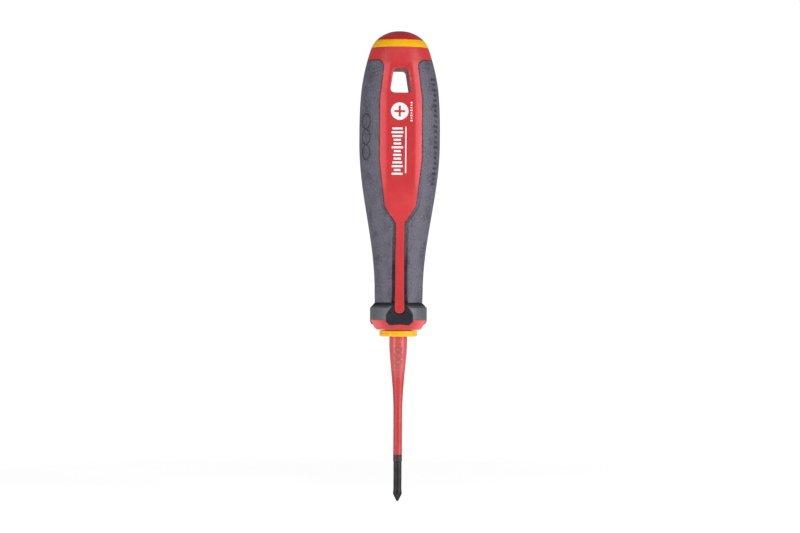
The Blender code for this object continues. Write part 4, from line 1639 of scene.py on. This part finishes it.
@dataclass
class Collar(SubAssembly):
    """The anti-roll collar with its three flats and their feet."""

    inner: float = 7.05 * MM
    soft: float = 0.12 * MM
    pad_half_width: float = 5.1 * MM
    pad_chamfer: float = 1.2 * MM
    chamfer_start: float = 3.8 * MM
    top_chamfer_height: float = 2.8 * MM
    top_chamfer_width: float = 1.9 * MM

    def build(self) -> None:
        """Make the flared ring, cut to flats, with a shallow bed for each stripe end."""
        form = self.form
        facings = self._columns()
        local = (facings + math.radians(60.0)) % math.radians(120.0) - math.radians(60.0)
        across = form.flat_distance * np.tan(local)
        bottom = np.interp(np.abs(across), [
            self.pad_half_width - self.pad_chamfer, self.pad_half_width, self.pad_half_width + 0.12 * MM,
        ], [form.pad_bottom, form.pad_bottom + self.pad_chamfer, form.flange_top])
        steps = [(0.0, 0.28), (0.06, 0.14), (0.15, 0.05), (0.30, 0.0)]
        rings = []
        for up, inset in steps:
            height = bottom + up * MM
            rings.append((self._radius(local, height) - inset * MM, height))
        shoulder = np.full_like(facings, form.shoulder)
        for share in np.linspace(0.1, 1.0, 14):
            height = bottom + 0.3 * MM + (shoulder - bottom - 0.3 * MM) * share
            rings.append((self._radius(local, height), height))
        for share in np.linspace(0.08, 0.94, 12):
            height = shoulder + (form.collar_top - shoulder) * share
            rings.append((self._radius(local, height), height))
        top = np.full_like(facings, form.collar_top)
        rings.append((self._radius(local, top) - 0.10 * MM, top))
        rings.append((np.full_like(facings, self.inner), top))
        rings.append((np.full_like(facings, self.inner), np.maximum(bottom, form.flange_top)))
        rings.append((self._radius(local, bottom) - 1.1 * MM, bottom))
        grid = np.stack([polar(facings, radius, height) for radius, height in rings])
        collar = skin("collar", grid, loop=True, crease=30.0)
        # Painted shade and highlight for each ring.
        painted_lights = [self._tone(local, height) for _, height in rings]
        self.take(set_painted_light(collar, np.stack(painted_lights)), COLLAR_RUBBER, "collar", "anti_roll_collar")

    @staticmethod
    def _columns() -> np.ndarray:
        """Return the facings of the ring's columns, closer at the feet and stripe beds.

        Returns:
            The facings in order.
        """
        near = np.array([1.7, 1.9, 2.0, 2.1, 2.25, 3.7, 3.9, 4.1, 4.9, 5.1, 5.22, 5.35]) * MM / (9.2 * MM)
        local = np.concatenate([np.radians(np.arange(0.0, 60.0, 1.5)), near])
        local = np.unique(np.round(np.concatenate([local, -local]), 5))
        return np.concatenate([local + middle for middle in sorted(PANEL_FACINGS)])

    def _radius(self, local: np.ndarray, height: np.ndarray) -> np.ndarray:
        """Return the outer radius: the flare, softly cut by the flat, with the bed sunk.

        Args:
            local: Facings from the nearest flat's middle.
            height: Heights above the tip.

        Returns:
            The radii.
        """
        form = self.form
        narrowing = (form.collar_radius - form.waist_radius) * ramp(height, form.shoulder, form.collar_top)
        flare = form.collar_radius - narrowing
        across = np.abs(form.flat_distance * np.tan(local))
        foot = form.flange_top - height
        cone = form.collar_radius - 0.6 * np.maximum(foot, 0.0) + 0.40 * MM
        flare = np.where(foot > 0.0, np.minimum(flare, cone), flare)
        flat = form.flat_distance / np.cos(local)
        lift = np.clip(0.5 + (flat - flare) / (2.0 * self.soft), 0.0, 1.0)
        cut = flat * (1.0 - lift) + flare * lift - self.soft * lift * (1.0 - lift)
        beyond = smooth(self._outside(across, height), -0.12 * MM, 0.12 * MM)
        radius = cut * (1.0 - beyond) + flare * beyond
        outline = PanelOutline(form)
        bed_round = outline.stripe_end_round
        bed = np.clip(height - (outline.end_height - 0.3 * MM), 0.0, bed_round) / bed_round
        bed_width = (outline.stripe + 0.28 * MM) * np.sqrt(np.maximum(1.0 - (1.0 - bed) ** 2, 0.0))
        return radius - 0.4 * MM * (across < bed_width)

    def _outside(self, across: np.ndarray, height: np.ndarray) -> np.ndarray:
        """Return the distance outside the flat's chamfered upper corners.

        Args:
            across: Distances from the flat's middle.
            height: Heights above the tip.

        Returns:
            The distances, negative inside.
        """
        rise = height - (self.form.pad_bottom + self.chamfer_start)
        slope = math.hypot(self.top_chamfer_height, self.top_chamfer_width)
        beside = across - self.pad_half_width
        return (beside * self.top_chamfer_height + rise * self.top_chamfer_width) / slope

    def _tone(self, local: np.ndarray, height: np.ndarray) -> np.ndarray:
        """Paint shade on the flats and the upper slope, and a painted highlight on the edge between them.

        Args:
            local: Facings from the nearest flat's middle.
            height: Heights above the tip.

        Returns:
            The painted shade and highlight values.
        """
        form = self.form
        across = np.abs(form.flat_distance * np.tan(np.clip(local, -1.2, 1.2)))
        outside = np.maximum(self._outside(across, height), across - self.pad_half_width)
        flat = 1.0 - smooth(outside, -0.25 * MM, 0.0)
        edge = smooth(outside, -0.1 * MM, 0.1 * MM) * (1.0 - smooth(outside, 0.35 * MM, 0.7 * MM))
        slope = smooth(height, form.shoulder - 0.2 * MM, form.collar_top - 0.3 * MM)
        # Painted shade on the flats, a painted highlight on their edge, and painted shade over the upper
        # slope.
        tone = -0.84 * flat + 0.30 * edge
        return tone * (1.0 - slope) - 0.85 * slope


@dataclass
class ButtEnd(SubAssembly):
    """The yellow rear band and the glossy domed end cap."""

    flat: float = 1.8 * MM

    def curve(self, count: int = 90) -> np.ndarray:
        """Return (radius, height) points of the dome from the neck to the butt.

        Args:
            count: The number of points.

        Returns:
            The points from the neck up.
        """
        form = self.form
        rise_height = form.butt - form.neck
        slope = 3.0 * (form.belly_radius - form.neck_radius) / (form.neck - form.belly)
        rise = 0.77 * rise_height
        start = np.array([form.neck_radius, form.neck])
        lift = np.array([form.neck_radius - slope * rise, form.neck + rise])
        pull = np.array([self.flat + 0.12 * form.neck_radius, form.butt])
        end = np.array([self.flat, form.butt])
        t = np.linspace(0.0, 1.0, count)[:, None]
        s = 1.0 - t
        return s ** 3 * start + 3 * s * s * t * lift + 3 * s * t * t * pull + t ** 3 * end

    def part(self, low: float, high: float, groove: float) -> list[tuple[float, float]]:
        """Return the dome between two heights, with a fine rounded edge at each cut.

        Args:
            low: The lower cut.
            high: The upper cut.
            groove: The size of the rounded edges.

        Returns:
            The points from the lower cut up.
        """
        curve = self.curve()
        inside = [(float(r), float(h)) for r, h in curve if low + groove < h < high - groove]
        at_low = float(np.interp(low, curve[:, 1], curve[:, 0]))
        points = [(at_low - groove, low), (at_low - 0.3 * groove, low + 0.35 * groove)] + inside
        if high < self.form.butt - groove:
            at_high = float(np.interp(high, curve[:, 1], curve[:, 0]))
            points += [(at_high - 0.3 * groove, high - 0.35 * groove), (at_high - groove, high)]
        return points

    def build(self) -> None:
        """Turn the band and the cap."""
        cap_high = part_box("end_cap")[1].z
        spigot_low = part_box("end_cap")[0].z
        band_low = self.form.neck + 0.03 * MM
        band_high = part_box("rear_band")[1].z + 0.13 * MM
        groove = 0.12 * MM
        band = self.part(band_low, band_high, groove) + [(4.5 * MM, band_high), (4.5 * MM, band_low)]
        self.take(turned("rear_band_ring", band, 160, loop=True), YELLOW_PLASTIC, "band", "rear_band")
        dome = self.part(band_high + 0.03 * MM, cap_high, groove)
        cap = [(0.1 * MM, spigot_low), (4.2 * MM, spigot_low), (4.2 * MM, band_high + 0.03 * MM)] + dome
        cap += [(self.flat, cap_high), (0.4 * MM, cap_high)]
        shaded = HeightTint(cap_high - 1.7 * MM, cap_high - 0.2 * MM, (0.20, 0.008, 0.018), 0.45)
        crimson = replace(CRIMSON_GLOSS, tints=(shaded,))
        self.take(turned("cap_dome", cap, 160), crimson, "cap", "end_cap")


@dataclass
class Label(SubAssembly):
    """The plain printed marks on the front panel: a disc with a cross, and bars."""

    disc_radius: float = 3.15 * MM
    disc_across: float = -0.5 * MM
    disc_from_butt: float = 29.7 * MM
    arm: float = 1.95 * MM
    arm_half_width: float = 0.38 * MM
    film: float = 0.03 * MM

    def _laid(self, across: np.ndarray, out: np.ndarray, height: np.ndarray) -> np.ndarray:
        """Lay a flat point on the front panel's field."""
        outline = PanelOutline(self.form)
        return np.stack([across, -(outline.field_distance(height) + out), height], axis=-1)

    def _disc(self) -> bpy.types.Object:
        """Return the white disc.

        Returns:
            The disc.
        """
        centre = self.form.butt - self.disc_from_butt
        facings = np.linspace(0.0, 2.0 * math.pi, 72, endpoint=False)[None, :]
        shares = np.array([0.02, 0.25, 0.5, 0.75, 0.97, 1.0, 1.0, 0.9])[:, None]
        out = np.array([1.0, 1.0, 1.0, 1.0, 1.0, 0.6, -1.0, -3.0])[:, None] * self.film
        across = self.disc_across + self.disc_radius * shares * np.cos(facings)
        height = centre + self.disc_radius * shares * np.sin(facings)
        return skin("label_disc", self._laid(across, out + 0.0 * facings, height))

    def _block(
        self, name: str, across: float, height: float, half_across: float, half_height: float, out: float,
    ) -> bpy.types.Object:
        """Return one thin rectangle of print.

        Args:
            name: The object's name.
            across: Its middle, across.
            height: Its middle's height.
            half_across: Half its width.
            half_height: Half its height.
            out: How far it stands out.

        Returns:
            The print.
        """
        columns = np.linspace(-half_across, half_across, 5)[None, :] + across
        rows = np.linspace(-half_height, half_height, 9)[:, None] + height
        grid_across = columns + 0.0 * rows
        grid_height = rows + 0.0 * columns
        outer = self._laid(grid_across, np.full_like(grid_across, out), grid_height)
        inner = self._laid(grid_across, np.full_like(grid_across, -self.film), grid_height)
        return slab(name, outer, inner)

    def build(self) -> None:
        """Lay the disc, the cross and the two columns of bars."""
        centre = self.form.butt - self.disc_from_butt
        self.take(self._disc(), WHITE_PRINT, "shell")
        out = 1.8 * self.film
        thin = self.arm_half_width
        upright = self._block("cross_upright", self.disc_across, centre, thin, self.arm, out)
        level = self._block("cross_level", self.disc_across, centre, self.arm, thin, out * 1.02)
        self.take(upright, RED_PRINT, "shell")
        self.take(level, RED_PRINT, "shell")
        depth = 2.0 * self.film
        small = MarkColumn("small_print", 8, 0.93 * MM, 0.95 * MM, 0.48 * MM, depth, least=0.5, seed=4)
        dashes = small.build(WHITE_PRINT)
        wrap(dashes, lambda across, rise, up: self._laid(across + 3.75 * MM, rise, up + centre - 3.4 * MM))
        self.take(dashes, WHITE_PRINT, "shell")
        large = MarkColumn("large_print", 13, 1.36 * MM, 4.4 * MM, 0.72 * MM, depth, least=0.5, seed=12)
        bars = large.build(WHITE_PRINT)
        wrap(bars, lambda across, rise, up: self._laid(across - 1.3 * MM, rise, up + centre - 22.6 * MM))
        self.take(bars, WHITE_PRINT, "shell")
        rule = self._block("print_rule", 1.75 * MM, centre - 14.0 * MM, 0.22 * MM, 8.4 * MM, out)
        self.take(rule, WHITE_PRINT, "shell")


# --- Studio ---------------------------------------------------------------------------

@dataclass(frozen=True)
class SoftBox:
    """A large soft light that faces the tool."""

    name: str
    facing: float
    rise: float
    distance: float
    width: float
    height: float
    power: float
    colour: Colour = (1.0, 1.0, 1.0)

    def build(self, target: Vector) -> None:
        """Add the light, aimed at the target.

        Args:
            target: What the light faces.
        """
        light = bpy.data.lights.new(self.name, "AREA")
        light.shape = "RECTANGLE"
        light.size = self.width
        light.size_y = self.height
        light.energy = self.power
        light.color = self.colour
        lamp = bpy.data.objects.new(self.name, light)
        flat = self.distance * math.cos(self.rise)
        lamp.location = target + Vector((
            flat * math.sin(self.facing), -flat * math.cos(self.facing), self.distance * math.sin(self.rise)))
        lamp.rotation_euler = (target - lamp.location).to_track_quat("-Z", "Y").to_euler()
        bpy.context.collection.objects.link(lamp)


@dataclass
class Studio:
    """The pale floor, the soft lights and the camera."""

    middle_height: float = 85.6 * MM
    camera_distance: float = 1150.0 * MM
    view_width: float = 292.16 * MM
    turn: float = math.radians(-2.6)
    roll: float = math.radians(0.33)
    aside: float = 0.5 * MM
    floor_radius: float = 420.0 * MM
    floor_height: float = -0.4 * MM
    floor_glow: float = 0.6
    surround: float = 0.37

    def build(self) -> None:
        """Build everything around the tool."""
        self._floor()
        self._world()
        target = Vector((0.0, 0.0, self.middle_height))
        boxes = (
            SoftBox("right_box", math.radians(56.0), math.radians(8.0), 1.0, 0.50, 1.1, 8.9),
            SoftBox("left_box", math.radians(-56.0), math.radians(8.0), 1.0, 0.50, 1.1, 5.6),
            SoftBox("front_box", math.radians(-4.0), math.radians(48.0), 1.2, 0.7, 0.5, 2.0),
        )
        for box in boxes:
            box.build(target)
        self._camera(target)

    def _floor(self) -> None:
        """Lay the pale floor under the tip, a disc that melts into the white surround."""
        facings = np.linspace(0.0, 2.0 * math.pi, 64, endpoint=False)[None, :]
        shares = np.array([0.01, 0.25, 0.5, 0.75, 1.0])[:, None]
        radii = self.floor_radius * shares + 0.0 * facings
        rings = polar(facings + 0.0 * shares, radii, self.floor_height + 0.0 * shares)
        points = rings.reshape(-1, 3)
        floor = mesh_object("studio_floor", points, quads(5, 64, True, False).tolist() + [list(range(64))])
        look = STUDIO_WHITE.material()
        sheet = NodeSheet(look.node_tree)
        place = sheet.add("ShaderNodeTexCoord").outputs["Object"]
        length = sheet.add("ShaderNodeVectorMath", operation="LENGTH")
        sheet.put(place, length.inputs[0])
        near, far = 0.35 * self.floor_radius, 0.98 * self.floor_radius
        fade = sheet.span(length.outputs["Value"], near, far, 1.0, 0.0)
        shader = look.node_tree.nodes["Principled BSDF"]
        sheet.put(fade, shader.inputs["Alpha"])
        shader.inputs["Emission Color"].default_value = (1.0, 1.0, 1.0, 1.0)
        shader.inputs["Emission Strength"].default_value = self.floor_glow
        floor.data.materials.append(look)

    def _world(self) -> None:
        """Set a surround that is white to look at, and lights the tool gently, least from above."""
        world = bpy.data.worlds.new("studio")
        bpy.context.scene.world = world
        world.use_nodes = True
        sheet = NodeSheet(world.node_tree)
        background = world.node_tree.nodes["Background"]
        path = sheet.add("ShaderNodeLightPath")
        way = sheet.add("ShaderNodeSeparateXYZ")
        sheet.put(sheet.add("ShaderNodeTexCoord").outputs["Generated"], way.inputs[0])
        soft = sheet.span(way.outputs["Z"], -0.2, 0.7, self.surround, 0.35 * self.surround)
        strength = sheet.add("ShaderNodeMix", data_type="FLOAT")
        sheet.put(path.outputs["Is Camera Ray"], strength.inputs[0])
        sheet.put(soft, strength.inputs[2])
        sheet.put(1.05, strength.inputs[3])
        sheet.feed(background, Color=(1.0, 1.0, 1.0, 1.0), Strength=strength.outputs[0])

    def _camera(self, target: Vector) -> None:
        """Place the camera level with the tool's middle and a little to its left.

        Args:
            target: What the camera looks at.
        """
        camera = bpy.data.cameras.new("camera")
        camera.lens = camera.sensor_width * self.camera_distance / self.view_width
        camera.clip_end = 20.0
        holder = bpy.data.objects.new("camera", camera)
        aim = target + Vector((self.aside, 0.0, 0.0))
        holder.location = aim + Vector((
            self.camera_distance * math.sin(self.turn), -self.camera_distance * math.cos(self.turn), 0.0))
        view = (aim - holder.location).to_track_quat("-Z", "Y").to_matrix()
        holder.rotation_euler = (view @ Matrix.Rotation(self.roll, 3, "Z")).to_euler()
        bpy.context.collection.objects.link(holder)
        bpy.context.scene.camera = holder
        bpy.context.scene.view_settings.view_transform = "Standard"


# --- Main -------------------------------------------------------------------------------

def plain(box: tuple[Vector, Vector]) -> list[list[float]]:
    """Return a pair of corners as plain lists."""
    return [list(corner) for corner in box]


def main() -> None:
    """Build the whole screwdriver and its studio."""
    logging.basicConfig(level=logging.INFO)
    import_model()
    form = HandleForm.from_frame()
    groups: list[SubAssembly] = [
        Blade(form),
        Sleeve(form),
        Core(form),
        HandleShell(form),
        Grip(form, node="grip_left", facing=math.radians(-60.0), top=form.grip_top),
        Grip(form, node="grip_right", facing=math.radians(60.0), top=form.grip_top),
        Grip(form, node="grip_back", facing=math.radians(180.0), top=form.back_top),
        GripRelief(form),
        Collar(form),
        ButtEnd(form),
        Label(form),
    ]
    for group in groups:
        group.build()
        group.dress()
    Studio().build()


if __name__ == "__main__":
    main()
